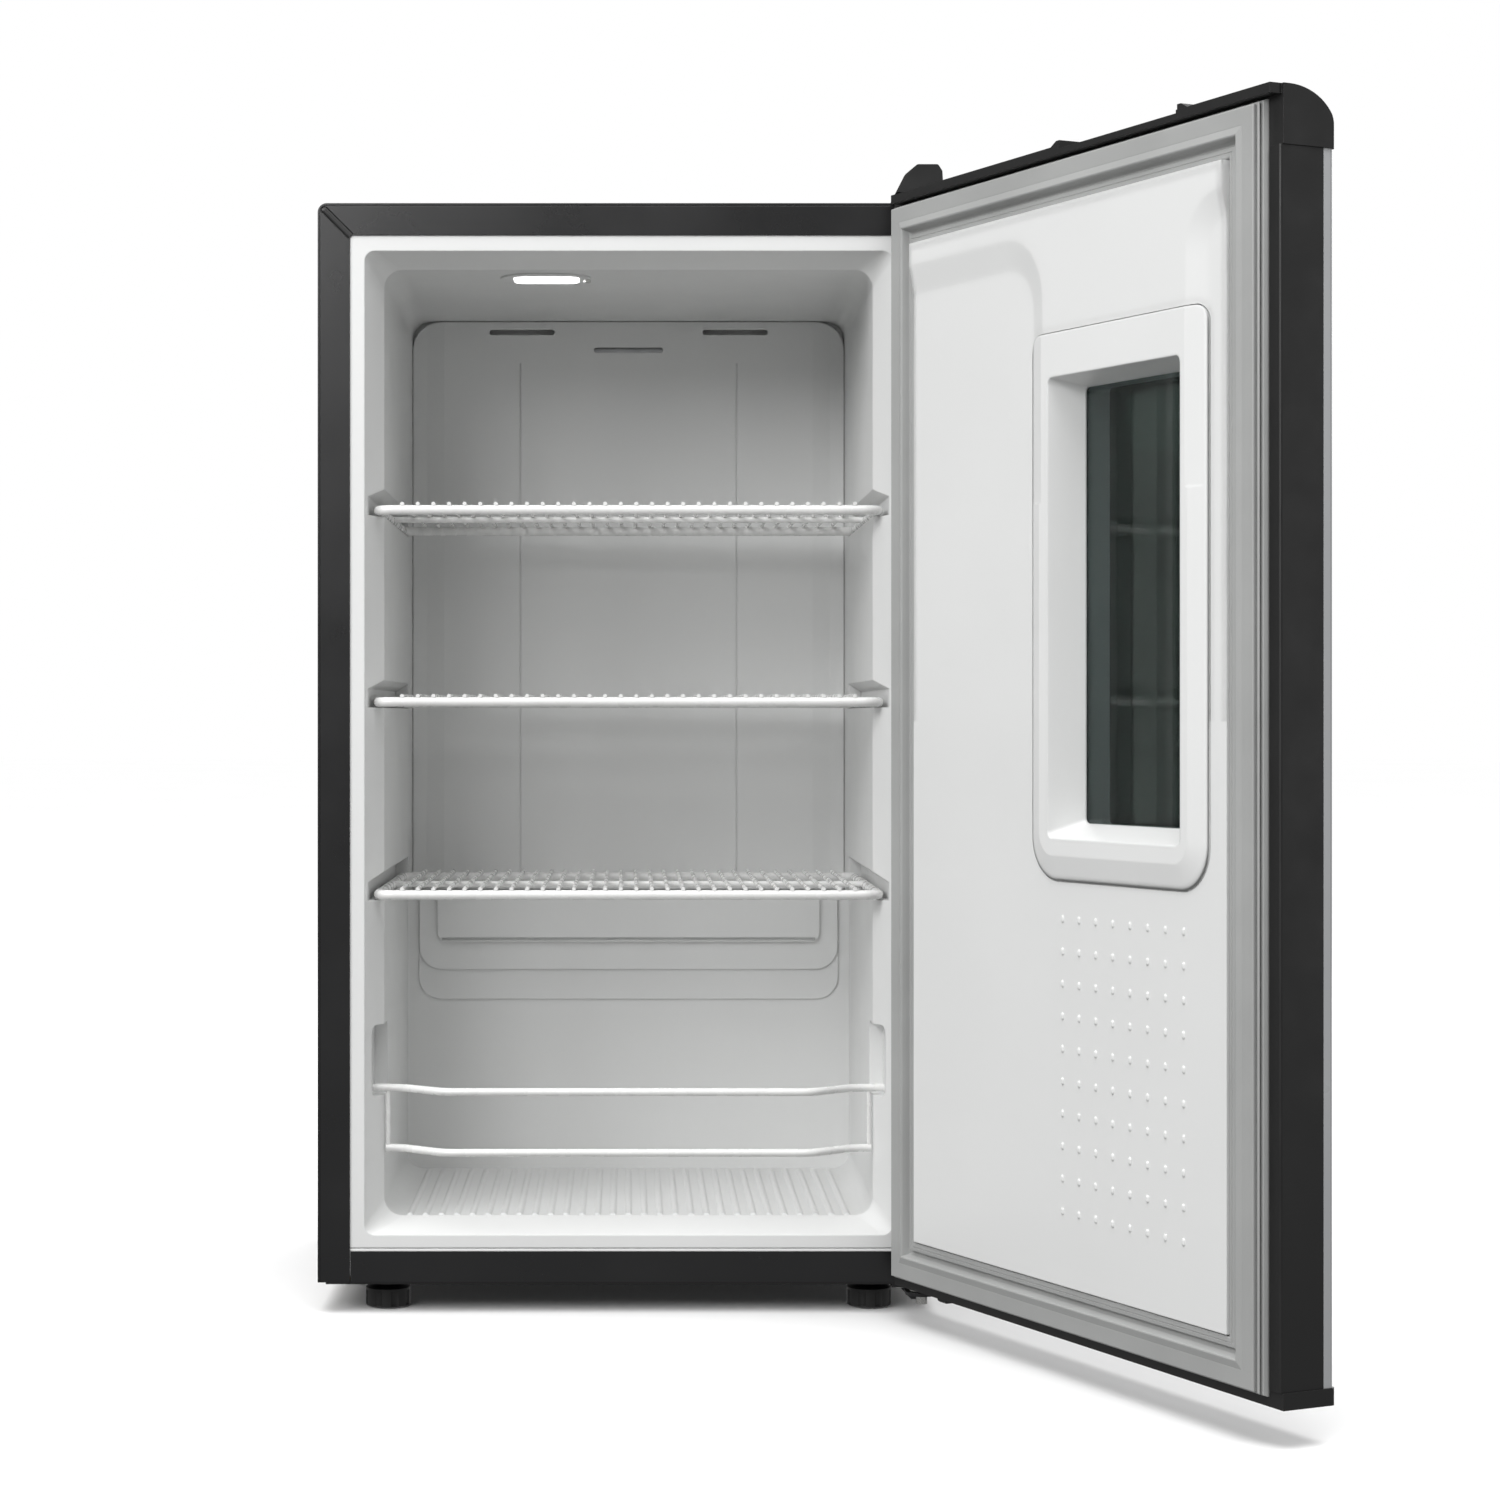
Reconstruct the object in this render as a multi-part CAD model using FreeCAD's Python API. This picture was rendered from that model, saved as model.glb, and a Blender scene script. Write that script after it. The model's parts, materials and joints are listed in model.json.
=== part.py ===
import FreeCAD, Part
import math
import os

# Mini fridge with a hinged window door, modelled in millimetres.
# X is to the right, Y goes from the door into the cabinet, Z is up.
# The origin is on the floor below the middle of the cabinet's footprint.
# The door is modelled shut and then turned about its hinge line to the open rest pose.

os.makedirs("parts", exist_ok=True)
Vector = FreeCAD.Vector

# ---- driving dimensions -------------------------------------------------------------------
CABINET_WIDTH = 472.0
CABINET_DEPTH = 396.0
CABINET_BOTTOM = 23.5
CABINET_TOP = 843.0
SHEET = 1.0                     # painted steel sheet
LINER = 1.5                     # moulded plastic sheet
FRAME_BAND = 24.4               # width of the black front frame

CAVITY_HALF = 187.7
CAVITY_FLOOR = 69.7
CAVITY_CEILING = 796.6
CAVITY_DEPTH = 350.0
CAVITY_RADIUS = 14.0
MOUTH_GROW = 12.8               # how much wider the mouth is at the front
MOUTH_DROP = 10.3               # how much taller the mouth is at the front
MOUTH_LENGTH = 30.0
FLANGE_DEPTH = 1.2
HUMP_DEPTH = 280.0              # where the floor ends at the compressor hump
HUMP_TOP = 303.0
COMPARTMENT_DEPTH = 302.0
COMPARTMENT_TOP = 272.0

SHELF_HEIGHTS = (317.1, 464.3, 610.8)
SHELF_HALF = 195.2
SHELF_FRONT = 11.0
SHELF_REAR = 284.0
SHELF_ROD = 3.7
SHELF_WIRE = 1.55
SHELF_WIRES = 30
SHELF_PITCH = 11.9
GROOVE_HALF = 198.5
RIB_PITCH = 12.0

GUARD_LOW = 121.7
GUARD_HIGH = 167.9
GUARD_ROD = 3.0
GUARD_BACK = 30.0
GUARD_FRONT = 1.5
POCKET_HALF = 198.0

HINGE_X = 220.0
HINGE_DEPTH = -26.0
OPEN_ANGLE = 115.4
DOOR_START = -15.0              # hinge-side end, measured from the hinge line
DOOR_END = 456.0
DOOR_BACK = 12.0                # back of the slab, in front of the cabinet
DOOR_FRONT = 51.2
HINGE_EDGE_RADIUS = 8.0         # upright front edges of the slab
FREE_EDGE_RADIUS = 3.0
TRIM_BACK = 10.3                # back face of the trims' proud edge
DOOR_BOTTOM = 25.5
DOOR_TOP = 843.6
CAP_HEIGHT = 37.6
FOOT_CAP_HEIGHT = 10.5
GASKET_FACE = 0.8
GASKET_WIDTH = 32.7
GASKET_START = -8.0
GASKET_END = 443.2
GASKET_BOTTOM = 30.9
GASKET_TOP = 836.4
GASKET_LIP = 3.7                # how far the face lip stays inside the foot's edge

SKIN_BACK = 43.3                # where the skin's folded sides end
MOUTH_RECT = (213.1, 366.6, 370.3, 684.7)      # s and z limits of the window's mouth
SIGHT_RECT = (222.1, 363.4, 379.9, 678.8)      # and of its clear glass
GLASS_BACK = 25.0               # back face of the inner pane
GLASS_FRONT = 45.2              # back face of the outer pane
FRAME_START, FRAME_END = 188.0, 392.1
FRAME_LOW, FRAME_HIGH = 341.0, 715.2
SEAM = 0.8                      # width of the seam around the window frame
FIELD_BACK = 4.0                # back face of the liner inside the gasket
CREST_BACK = 0.0                # back face of its raised band and column
PAD_START, PAD_END = 25.5, 409.7
PAD_BOTTOM, PAD_TOP = 64.4, 802.9
GRIP_START, GRIP_END = 217.5, 359.2
GRIP_CREST = 847.3
CAP_FLAT = 16.4                 # where the top cap's roll meets its flat top
CAP_SPRING = 29.0               # how far below the top the roll starts

FOOT_X = 185.0
FOOT_INSET = 33.0
FOOT_RADIUS = 17.0
FOOT_LOBES = 8
REAR_FOOT_DEPTH = 318.0

COVER_HALF = 187.2              # evaporator cover
COVER_TOP = 796.0
COVER_FACE = 341.0
COVER_STEP = 2.0

LAMP_FLANGE = (-100.2, -29.2, 46.3, 101.5)     # x and depth limits
LAMP_BOX = (-94.5, -34.5, 53.0, 99.0)
LENS_BOX = (-89.7, -38.6, 58.0, 94.0)
LAMP_SCREW = (-32.4, 74.0)

TOP_SCREWS = [(208.5, 14.0), (226.0, 14.0), (217.0, 34.0)]
BOTTOM_SCREWS = [(207.0, 14.0), (224.0, 30.0)]
TOP_PLATE = (845.0, 847.5)
PIN_RADIUS = 3.5

COMPRESSOR_X, COMPRESSOR_DEPTH = -40.0, 351.0
COMPRESSOR_RADIUS = 45.0
COMPRESSOR_STUDS = [(-105.0, 326.0), (25.0, 326.0), (-105.0, 376.0), (25.0, 376.0)]
SUCTION_X, CAPILLARY_X, SUCTION_Z = 95.0, 108.0, 258.0
DRAIN_X, DRAIN_DEPTH = -150.0, 328.0
BRACKET_POINTS = [(-150.0, 330.0), (150.0, 330.0), (-150.0, 780.0), (150.0, 780.0)]
CONDENSER_DEPTH = 409.0
CONDENSER_LOW, CONDENSER_HIGH, CONDENSER_PASSES = 318.0, 792.0, 13
DOWNCOMER_X, DRIER_X, DRIER_TOP = 222.0, 130.0, 190.0
DIAL_X, DIAL_Z = 194.0, 144.0
INLET_X, INLET_Z = -200.0, 60.0

FRONT_Y = -CABINET_DEPTH / 2
HALF = CABINET_WIDTH / 2
UP = Vector(0, 0, 1)
BACKWARD = Vector(0, 1, 0)


# ---- shape helpers ------------------------------------------------------------------------
def export(name, *shapes):
    """Writes one node's solids to its file."""
    shape = shapes[0] if len(shapes) == 1 else Part.makeCompound(list(shapes))
    shape.exportStep("parts/" + name + ".step")
    print(name, "solids", len(shape.Solids), "valid", shape.isValid())


def block(x0, x1, d0, d1, z0, z1):
    """Box from its limits, with its depth measured from the cabinet's front plane."""
    return Part.makeBox(x1 - x0, d1 - d0, z1 - z0, Vector(x0, FRONT_Y + d0, z0))


def door_block(s0, s1, t0, t1, z0, z1):
    """Box on the shut door: s from the hinge line to the free end, t outwards."""
    corner = Vector(HINGE_X - s1, FRONT_Y - t1, z0)
    return Part.makeBox(s1 - s0, t1 - t0, z1 - z0, corner)


def door_point(s, t, z):
    """Point on the shut door."""
    return Vector(HINGE_X - s, FRONT_Y - t, z)


def opened(shape):
    """The shut door's shape, turned about the hinge line to the rest pose."""
    turned = shape.copy()
    turned.rotate(Vector(HINGE_X, FRONT_Y + HINGE_DEPTH, 0), UP, OPEN_ANGLE)
    return turned


def place(x, d, z):
    """Point at depth d behind the cabinet's front plane."""
    return Vector(x, FRONT_Y + d, z)


def disc(x, d, z, radius, length, axis=UP):
    """Cylinder that starts at a point and runs along an axis."""
    return Part.makeCylinder(radius, length, place(x, d, z), axis)


def fuse(shapes):
    """One solid from shapes that overlap."""
    joined = shapes[0].multiFuse(shapes[1:]) if len(shapes) > 1 else shapes[0]
    return joined.removeSplitter()


def cut_all(shape, tools):
    """Shape without any of the tools."""
    return shape.cut(Part.makeCompound(tools))


def rounded_outline(corners):
    """Closed wire through (point, radius) corners, rounded by tangent arcs unless radius is 0."""
    turns = []
    for i, (point, radius) in enumerate(corners):
        incoming = (point - corners[i - 1][0]).normalize()
        outgoing = (corners[(i + 1) % len(corners)][0] - point).normalize()
        half_turn = incoming.getAngle(outgoing) / 2
        reach = radius * math.tan(half_turn)
        inward = (outgoing - incoming).normalize()
        middle = point + inward * (radius / math.cos(half_turn) - radius)
        turns.append((point - incoming * reach, middle, point + outgoing * reach))
    edges = []
    for i, (start, middle, end) in enumerate(turns):
        edges.append(Part.LineSegment(turns[i - 1][2], start).toShape())
        if (end - start).Length > 0:
            edges.append(Part.Arc(start, middle, end).toShape())
    return Part.Wire(edges)


def rounded_rectangle(x0, x1, z0, z1, radius, y):
    """Closed wire in an XZ plane with four corner arcs."""
    corners = [(x0, z0), (x1, z0), (x1, z1), (x0, z1)]
    return rounded_outline([(Vector(x, y, z), radius) for x, z in corners])


def rounded_prism(x0, x1, z0, z1, radius, y0, y1):
    """Rounded XZ rectangle extruded from y0 to y1."""
    wire = rounded_rectangle(x0, x1, z0, z1, radius, y0)
    return Part.Face(wire).extrude(Vector(0, y1 - y0, 0))


def level_prism(limits, radius, low, high):
    """Upright prism over an (x0, x1, depth0, depth1) rectangle with rounded corners."""
    x0, x1, d0, d1 = limits
    corners = [place(x0, d0, low), place(x1, d0, low), place(x1, d1, low), place(x0, d1, low)]
    outline = rounded_outline([(corner, radius) for corner in corners])
    return Part.Face(outline).extrude(UP * (high - low))


def door_prism(s0, s1, t0, t1, z0, z1, radius):
    """Rounded rectangle on the shut door, extruded through its thickness."""
    return rounded_prism(HINGE_X - s1, HINGE_X - s0, z0, z1, radius, FRONT_Y - t1, FRONT_Y - t0)


def door_loft(sections):
    """Solid through (t, s0, s1, z0, z1, radius) sections of the shut door."""
    wires = []
    for t, s0, s1, z0, z1, radius in sections:
        wires.append(rounded_rectangle(HINGE_X - s1, HINGE_X - s0, z0, z1, radius, FRONT_Y - t))
    return Part.makeLoft(wires, True, True)


def polygon_prism(points, direction):
    """Flat polygon extruded along a direction."""
    closed = points + [points[0]]
    return Part.Face(Part.makePolygon(closed)).extrude(direction)


def bent_path(points, radius):
    """Wire of straight runs joined by tangent arcs of one radius."""
    edges = []
    last = points[0]
    for before, corner, after in zip(points, points[1:], points[2:]):
        incoming = (corner - before).normalize()
        outgoing = (after - corner).normalize()
        half_turn = incoming.getAngle(outgoing) / 2
        reach = radius * math.tan(half_turn)
        start = corner - incoming * reach
        end = corner + outgoing * reach
        inward = (outgoing - incoming).normalize()
        centre = corner + inward * (radius / math.cos(half_turn))
        middle = centre - inward * radius
        edges.append(Part.LineSegment(last, start).toShape())
        edges.append(Part.Arc(start, middle, end).toShape())
        last = end
    edges.append(Part.LineSegment(last, points[-1]).toShape())
    return Part.Wire(edges)


def rod(points, radius, bend):
    """Round rod along straight runs with bends."""
    path = bent_path(points, bend) if len(points) > 2 else Part.makePolygon(points)
    start = (points[1] - points[0]).normalize()
    profile = Part.Wire(Part.makeCircle(radius, points[0], start))
    return path.makePipeShell([profile], True, True)


def straight_rod(start, end, radius):
    """Round bar between two points."""
    return Part.makeCylinder(radius, (end - start).Length, start, end - start)


def screw(x, d, z, axis, radius=2.0, head=4.2, length=10.0):
    """Pan-head screw: its head stands on the face, its shank goes in against axis."""
    base = place(x, d, z)
    shank = Part.makeCylinder(radius, length, base, axis * -1)
    top = Part.makeCylinder(head, 2.2, base, axis)
    return shank.fuse(top).removeSplitter()


# ---- cabinet shell ------------------------------------------------------------------------
def corner_ridge(side, radius, floor):
    """Diagonal bar over the mitre between a side panel and the top, as deep as floor."""
    inner = place(side * (HALF - FRAME_BAND - 0.8), 4.0, CABINET_TOP - FRAME_BAND - 0.8)
    outer = place(side * (HALF - 5.2), 4.0, CABINET_TOP - 5.2)
    bar = Part.makeCylinder(radius, (outer - inner).Length, inner, outer - inner)
    rounded = bar.fuse(Part.makeSphere(radius, outer))
    return rounded.common(block(-HALF, HALF, -2.0, floor, 700, CABINET_TOP))


def wrapper():
    """Sheet bent over both sides and the top, with the frame folded in at the front."""
    def outline(inset, y0, y1):
        """The cabinet's outside, smaller by inset, between two depths."""
        low = CABINET_BOTTOM - 60
        return rounded_prism(-HALF + inset, HALF - inset, low, CABINET_TOP - inset,
                             7.0 - inset, FRONT_Y + y0, FRONT_Y + y1)
    shell = outline(0, 0, CABINET_DEPTH).cut(outline(SHEET, -1, CABINET_DEPTH + 1))
    reach = HALF - FRAME_BAND
    window = block(-reach, reach, -1, SHEET + 1, -100, CABINET_TOP - FRAME_BAND)
    frame = outline(0, 0, SHEET).cut(window)
    sheet = shell.fuse(frame).removeSplitter()
    sheet = sheet.cut(block(-300, 300, -10, 500, -100, CABINET_BOTTOM))
    hem = outline(1.6, -1, 0.35).cut(outline(2.1, -2, 1))
    holes = [disc(x, d, CABINET_TOP - 5, 2.05, 10) for x, d in TOP_SCREWS]
    seats = [corner_ridge(side, 4.7, 0.6) for side in (-1, 1)]
    return cut_all(sheet.cut(hem), seats + holes)


def corner_caps():
    """Half-round plugs in the frame's two upper mitres."""
    return [corner_ridge(side, 4.3, 0.6) for side in (-1, 1)]


def front_rail():
    """Sheet rail under the cavity, between the frame's two uprights."""
    reach = HALF - FRAME_BAND - 0.5
    face = block(-reach, reach, 0, SHEET, CABINET_BOTTOM, 47.2)
    lip = block(-reach, reach, 0, 26, CABINET_BOTTOM, CABINET_BOTTOM + SHEET)
    hinge_hole = disc(BOTTOM_SCREWS[0][0], BOTTOM_SCREWS[0][1], 15, 2.05, 15)
    return fuse([face, lip]).cut(hinge_hole)


def base_plate():
    """Flat sheet below the foam."""
    plate = block(-230, 230, 1.2, 302, CABINET_BOTTOM - 1.5, CABINET_BOTTOM)
    feet = [disc(x, FOOT_INSET, 15, 4.4, 12) for x in (-FOOT_X, FOOT_X)]
    hinge_screws = [disc(x, d, 15, 2.05, 12) for x, d in BOTTOM_SCREWS]
    return cut_all(plate, feet + hinge_screws)


def compressor_tray():
    """Crossbar at the back that carries the compressor and the rear feet."""
    floor = block(-232, 232, 302.2, 394, CABINET_BOTTOM - 1.5, CABINET_BOTTOM)
    walls = [
        block(-232, 232, 302.2, 303.7, CABINET_BOTTOM - 1.5, CABINET_BOTTOM + 12),
        block(-232, 232, 392.5, 394, CABINET_BOTTOM - 1.5, CABINET_BOTTOM + 12),
    ]
    tray = fuse([floor] + walls)
    holes = [disc(x, d, 15, 3.1, 14) for x, d in COMPRESSOR_STUDS]
    holes += [disc(x, REAR_FOOT_DEPTH, 15, 3.1, 14) for x in (-FOOT_X, FOOT_X)]
    vents = [block(x, x + 4, 318, 378, 15, 30) for x in range(110, 160, 10)]
    return cut_all(tray, holes + vents)


def rear_panel():
    """Sheet that closes the back above the machine space."""
    panel = rounded_prism(-HALF + 1.2, HALF - 1.2, 0, CABINET_TOP - 1.2, 5.8,
                          FRONT_Y + 394.8, FRONT_Y + 395.8)
    panel = panel.cut(block(-300, 300, 300, 500, -10, COMPARTMENT_TOP + 1.2))
    holes = [disc(x, 390, z, 2.05, 12, BACKWARD) for x, z in BRACKET_POINTS]
    return cut_all(panel, holes)


def compartment_panel():
    """Folded sheet between the foam and the machine space."""
    back = COMPARTMENT_DEPTH + 0.2
    upright = block(-234, 234, back, back + 1, 36, COMPARTMENT_TOP)
    roof = block(-234, 234, back, 394.6, COMPARTMENT_TOP, COMPARTMENT_TOP + 1)
    pipes = [
        disc(SUCTION_X, 290, SUCTION_Z, 4.0, 30, BACKWARD),
        disc(CAPILLARY_X, 290, SUCTION_Z, 2.0, 30, BACKWARD),
        disc(DRAIN_X, DRAIN_DEPTH, 260, 7.1, 20),
    ]
    return cut_all(fuse([upright, roof]), pipes)


# ---- cavity, liner and foam ---------------------------------------------------------------
def mouth_section(depth, across, tall, radius):
    """Outline of the cavity's mouth, larger than the cavity by across and tall."""
    return rounded_rectangle(
        -CAVITY_HALF - across, CAVITY_HALF + across,
        CAVITY_FLOOR - tall, CAVITY_CEILING + tall, radius, FRONT_Y + depth,
    )


def cavity(grow):
    """The food space, larger by grow on every wall."""
    barrel = rounded_prism(
        -CAVITY_HALF - grow, CAVITY_HALF + grow,
        CAVITY_FLOOR - grow, CAVITY_CEILING + grow,
        CAVITY_RADIUS + grow, FRONT_Y + MOUTH_LENGTH, FRONT_Y + CAVITY_DEPTH + grow,
    )
    front = mouth_section(FLANGE_DEPTH, MOUTH_GROW + grow, MOUTH_DROP + grow, 7.6 + grow)
    back = mouth_section(MOUTH_LENGTH, grow, grow, CAVITY_RADIUS + grow)
    mouth = Part.makeLoft([front, back], True, True)
    slots = []
    for side in (-1, 1):
        for z in SHELF_HEIGHTS:
            low, high = z - SHELF_ROD - 0.5 - grow, z + 10.0 + grow
            wall, inside = side * (GROOVE_HALF + grow), side * 180
            section = [place(inside, 5.0, low), place(wall, 5.0, low),
                       place(wall, 5.0, high), place(inside, 5.0, high + 12.0)]
            slots.append(polygon_prism(section, BACKWARD * (SHELF_REAR + 1 + grow)))
        corners = [(12 - grow, 162.6 - grow), (62 + grow, 162.6 - grow),
                   (62 + grow, 217 + grow), (12 - grow, 217 + grow)]
        pocket = rounded_outline([(place(side * 180, d, z), 6.0 + grow) for d, z in corners])
        slots.append(Part.Face(pocket).extrude(Vector(side * (POCKET_HALF + grow - 180), 0, 0)))
    room = fuse([barrel, mouth] + slots)
    hump = block(-300, 300, HUMP_DEPTH + grow, 500, 0, HUMP_TOP - grow)
    return room.cut(hump)


def lamp_hole(grow):
    """Room in the ceiling for the lamp's box and its screw, larger by grow."""
    x0, x1, d0, d1 = LAMP_BOX
    box = block(x0 - grow, x1 + grow, d0 - grow, d1 + grow, 780, CAVITY_CEILING + 12 + grow)
    return box.fuse(disc(*LAMP_SCREW, 780, 2.1 + grow, CAVITY_CEILING - 768))


def floor_ribs():
    """Low rounded ribs along the cavity floor, which bottles stand on."""
    ribs = []
    for i in range(-14, 15):
        rib = disc(i * RIB_PITCH, 32, CAVITY_FLOOR - 1.4, 3.0, HUMP_DEPTH - 44, BACKWARD)
        ribs.append(rib.common(block(-190, 190, 0, 300, CAVITY_FLOOR - 0.5, CAVITY_FLOOR + 3)))
    return ribs


def inner_liner():
    """Moulded cavity with its flange, and a fine groove along the flange's lower edge."""
    flange = block(-225, 225, FLANGE_DEPTH, FLANGE_DEPTH + LINER, 28, 832)
    shell = flange.fuse(CAVITY_OUTER).cut(CAVITY_INNER)
    drain = disc(DRAIN_X, DRAIN_DEPTH, 290, 7.1, 20)
    groove = block(-230, 230, 0, FLANGE_DEPTH + 0.8, 48.8, 49.6)
    return fuse([cut_all(shell, [lamp_hole(0.1), drain, groove])] + floor_ribs())


def cabinet_insulation():
    """Foam between the liner and the sheet, with room for the hardware."""
    foam = rounded_prism(-HALF + 1.1, HALF - 1.1, -60, CABINET_TOP - 1.1, 5.9,
                         FRONT_Y + 3.0, FRONT_Y + 394.6)
    foam = foam.cut(block(-300, 300, -10, 500, -100, CABINET_BOTTOM + 1.1))
    machine_space = block(-300, 300, COMPARTMENT_DEPTH, 500, 0, COMPARTMENT_TOP + 1.1)
    rail_room = block(-300, 300, 0, 27, 0, CABINET_BOTTOM + 1.2)
    hardware = [block(side * 224 - 16, side * 224 + 16, 0, 10, 798, 900) for side in (-1, 1)]
    hardware += [
        block(FOOT_X - 10, FOOT_X + 10, FOOT_INSET - 10, FOOT_INSET + 10, 0, 34),
        block(-FOOT_X - 10, -FOOT_X + 10, FOOT_INSET - 10, FOOT_INSET + 10, 0, 34),
        block(195, 240, 0, 60, 0, 38),
        block(195, 240, 0, 60, CABINET_TOP - 14, 900),
        disc(SUCTION_X, 285, SUCTION_Z, 3.3, 30, BACKWARD),
        disc(CAPILLARY_X, 285, SUCTION_Z, 1.2, 30, BACKWARD),
        disc(DRAIN_X, DRAIN_DEPTH, 260, 7.1, 50),
    ]
    hardware += [disc(x, 384, z, 2.05, 14, BACKWARD) for x, z in BRACKET_POINTS]
    return cut_all(foam, [CAVITY_OUTER, machine_space, rail_room, lamp_hole(1.6)] + hardware)


# ---- cold side ----------------------------------------------------------------------------
def cover_block(inset):
    """The evaporator cover's outside: its middle stands forward between two facets."""
    half, face, low = COVER_HALF - inset, COVER_FACE + inset, HUMP_TOP + 0.5 + inset
    plan = [
        place(-half, CAVITY_DEPTH, low), place(-half, face, low), place(-175, face, low),
        place(-160, face - COVER_STEP, low), place(160, face - COVER_STEP, low),
        place(175, face, low), place(half, face, low), place(half, CAVITY_DEPTH, low),
    ]
    outline = rounded_prism(-half, half, 200, COVER_TOP - inset, 24 - inset,
                            FRONT_Y + 330, FRONT_Y + 360)
    return polygon_prism(plan, UP * 600).common(outline)


def evaporator_cover():
    """White moulding over the whole back wall, with three air slots and two seams."""
    y0, y1 = FRONT_Y + 330, FRONT_Y + 346
    slots = [rounded_prism(x, x + 56.5, 784.8, 789.2, 2.1, y0, y1) for x in (-120.6, 64.5)]
    slots.append(rounded_prism(-30, 30, 769.3, 773.8, 2.1, y0, y1))
    seams = [block(x - 0.5, x + 0.5, 330, COVER_FACE - COVER_STEP + 0.6, 300, 760) for x in (-94, 94)]
    return cut_all(cover_block(0).cut(cover_block(1.8)), seams + slots).removeSplitter()


def hump_cover():
    """Stepped moulding on the hump: two rounded steps and the drip lip in front."""
    steps = []
    for reach, low, back, front, radius in (
        (178.0, 213.4, HUMP_DEPTH, HUMP_DEPTH - 1.6, 19.0),
        (177.4, 238.8, HUMP_DEPTH - 1.4, HUMP_DEPTH - 3.6, 19.0),
        (162.0, 262.5, HUMP_DEPTH - 3.4, HUMP_DEPTH - 7.4, 8.0),
    ):
        steps.append(rounded_prism(-reach, reach, low, HUMP_TOP + 30, radius,
                                   FRONT_Y + front, FRONT_Y + back))
    plate = fuse(steps).cut(block(-300, 300, 0, 500, HUMP_TOP - 1.0, 500))
    return plate.cut(block(-158, 158, HUMP_DEPTH - 8, HUMP_DEPTH - 4.5, 263.5, 266.0))


def evaporator_plate():
    """Roll-bond aluminium plate with its raised refrigerant channel."""
    low, high, runs = 325.0, 775.0, 8
    plate = block(-160, 160, 347.7, 349.3, low, high)
    channels = []
    for i in range(runs):
        z = low + 30 + i * 55
        channels.append(straight_rod(place(-140, 347.6, z), place(140, 347.6, z), 1.9))
    for i in range(runs - 1):
        x = 140 if i % 2 == 0 else -140
        z = low + 30 + i * 55
        channels.append(straight_rod(place(x, 347.6, z), place(x, 347.6, z + 55), 1.9))
    return fuse([plate] + channels)


# ---- lamp ---------------------------------------------------------------------------------
def lamp_housing():
    """Box above the ceiling with a round-ended flange below it."""
    x0, x1, d0, d1 = LAMP_BOX
    top = CAVITY_CEILING + 11.8
    outer = block(x0, x1, d0, d1, CAVITY_CEILING - 0.2, top)
    flange = level_prism(LAMP_FLANGE, 27.4, CAVITY_CEILING - 1.4, CAVITY_CEILING - 0.1)
    hollow = block(x0 + 2, x1 - 2, d0 + 2, d1 - 2, CAVITY_CEILING + 2.2, top - 2)
    opening = level_prism(LENS_BOX, 8.0, CAVITY_CEILING - 5, CAVITY_CEILING + 5)
    screw_hole = disc(*LAMP_SCREW, CAVITY_CEILING - 6, 1.55, 12)
    return cut_all(outer.fuse(flange), [hollow, opening, screw_hole]).removeSplitter()


def lamp_lens():
    """Frosted lens with a rounded face, held by the lip inside the box."""
    x0, x1, d0, d1 = LENS_BOX
    low = CAVITY_CEILING - 1.9
    lip = level_prism((x0 - 2, x1 + 2, d0 - 2, d1 + 2), 9.0, CAVITY_CEILING + 2.2, CAVITY_CEILING + 3.5)
    face = level_prism((x0 + 0.3, x1 - 0.3, d0 + 0.3, d1 - 0.3), 7.7, low, CAVITY_CEILING + 2.6)
    edges = [e for e in face.Edges if abs(e.BoundBox.ZMax - low) < 0.01]
    return face.makeFillet(0.9, edges).fuse(lip).removeSplitter()


def led_board():
    """Circuit board with its row of light sources."""
    x0, x1, d0, d1 = LENS_BOX
    board = block(x0 - 1, x1 + 1, d0, d1, CAVITY_CEILING + 8.2, CAVITY_CEILING + 9.8)
    leds = [block(x - 1.5, x + 1.5, 75.5, 78.5, CAVITY_CEILING + 7.4, CAVITY_CEILING + 8.3)
            for x in (-82, -73, -64, -55, -46)]
    return fuse([board] + leds)


# ---- shelves, guard and feet --------------------------------------------------------------
def wire_shelf(z):
    """Welded wire shelf: a closed rod frame, a cross bar and the front-to-back wires."""
    side = SHELF_HALF - SHELF_ROD
    middle = place(0, SHELF_FRONT, z)
    corners = [middle]
    corners += [place(side, SHELF_FRONT, z), place(side, SHELF_REAR, z)]
    corners += [place(-side, SHELF_REAR, z), place(-side, SHELF_FRONT, z), middle]
    frame = rod(corners, SHELF_ROD, 11.0)
    height = z + SHELF_ROD + SHELF_WIRE - 0.7
    first = -SHELF_PITCH * (SHELF_WIRES - 1) / 2
    wires = []
    for i in range(SHELF_WIRES):
        x = first + i * SHELF_PITCH
        start = place(x, SHELF_FRONT - 2.6, height)
        end = place(x, SHELF_REAR + 2.6, height)
        wires.append(straight_rod(start, end, SHELF_WIRE))
    bar_height = height - SHELF_WIRE - 2.5 + 0.6
    bar = straight_rod(place(-side, 148, bar_height), place(side, 148, bar_height), 2.5)
    return fuse([frame, bar] + wires)


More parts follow.
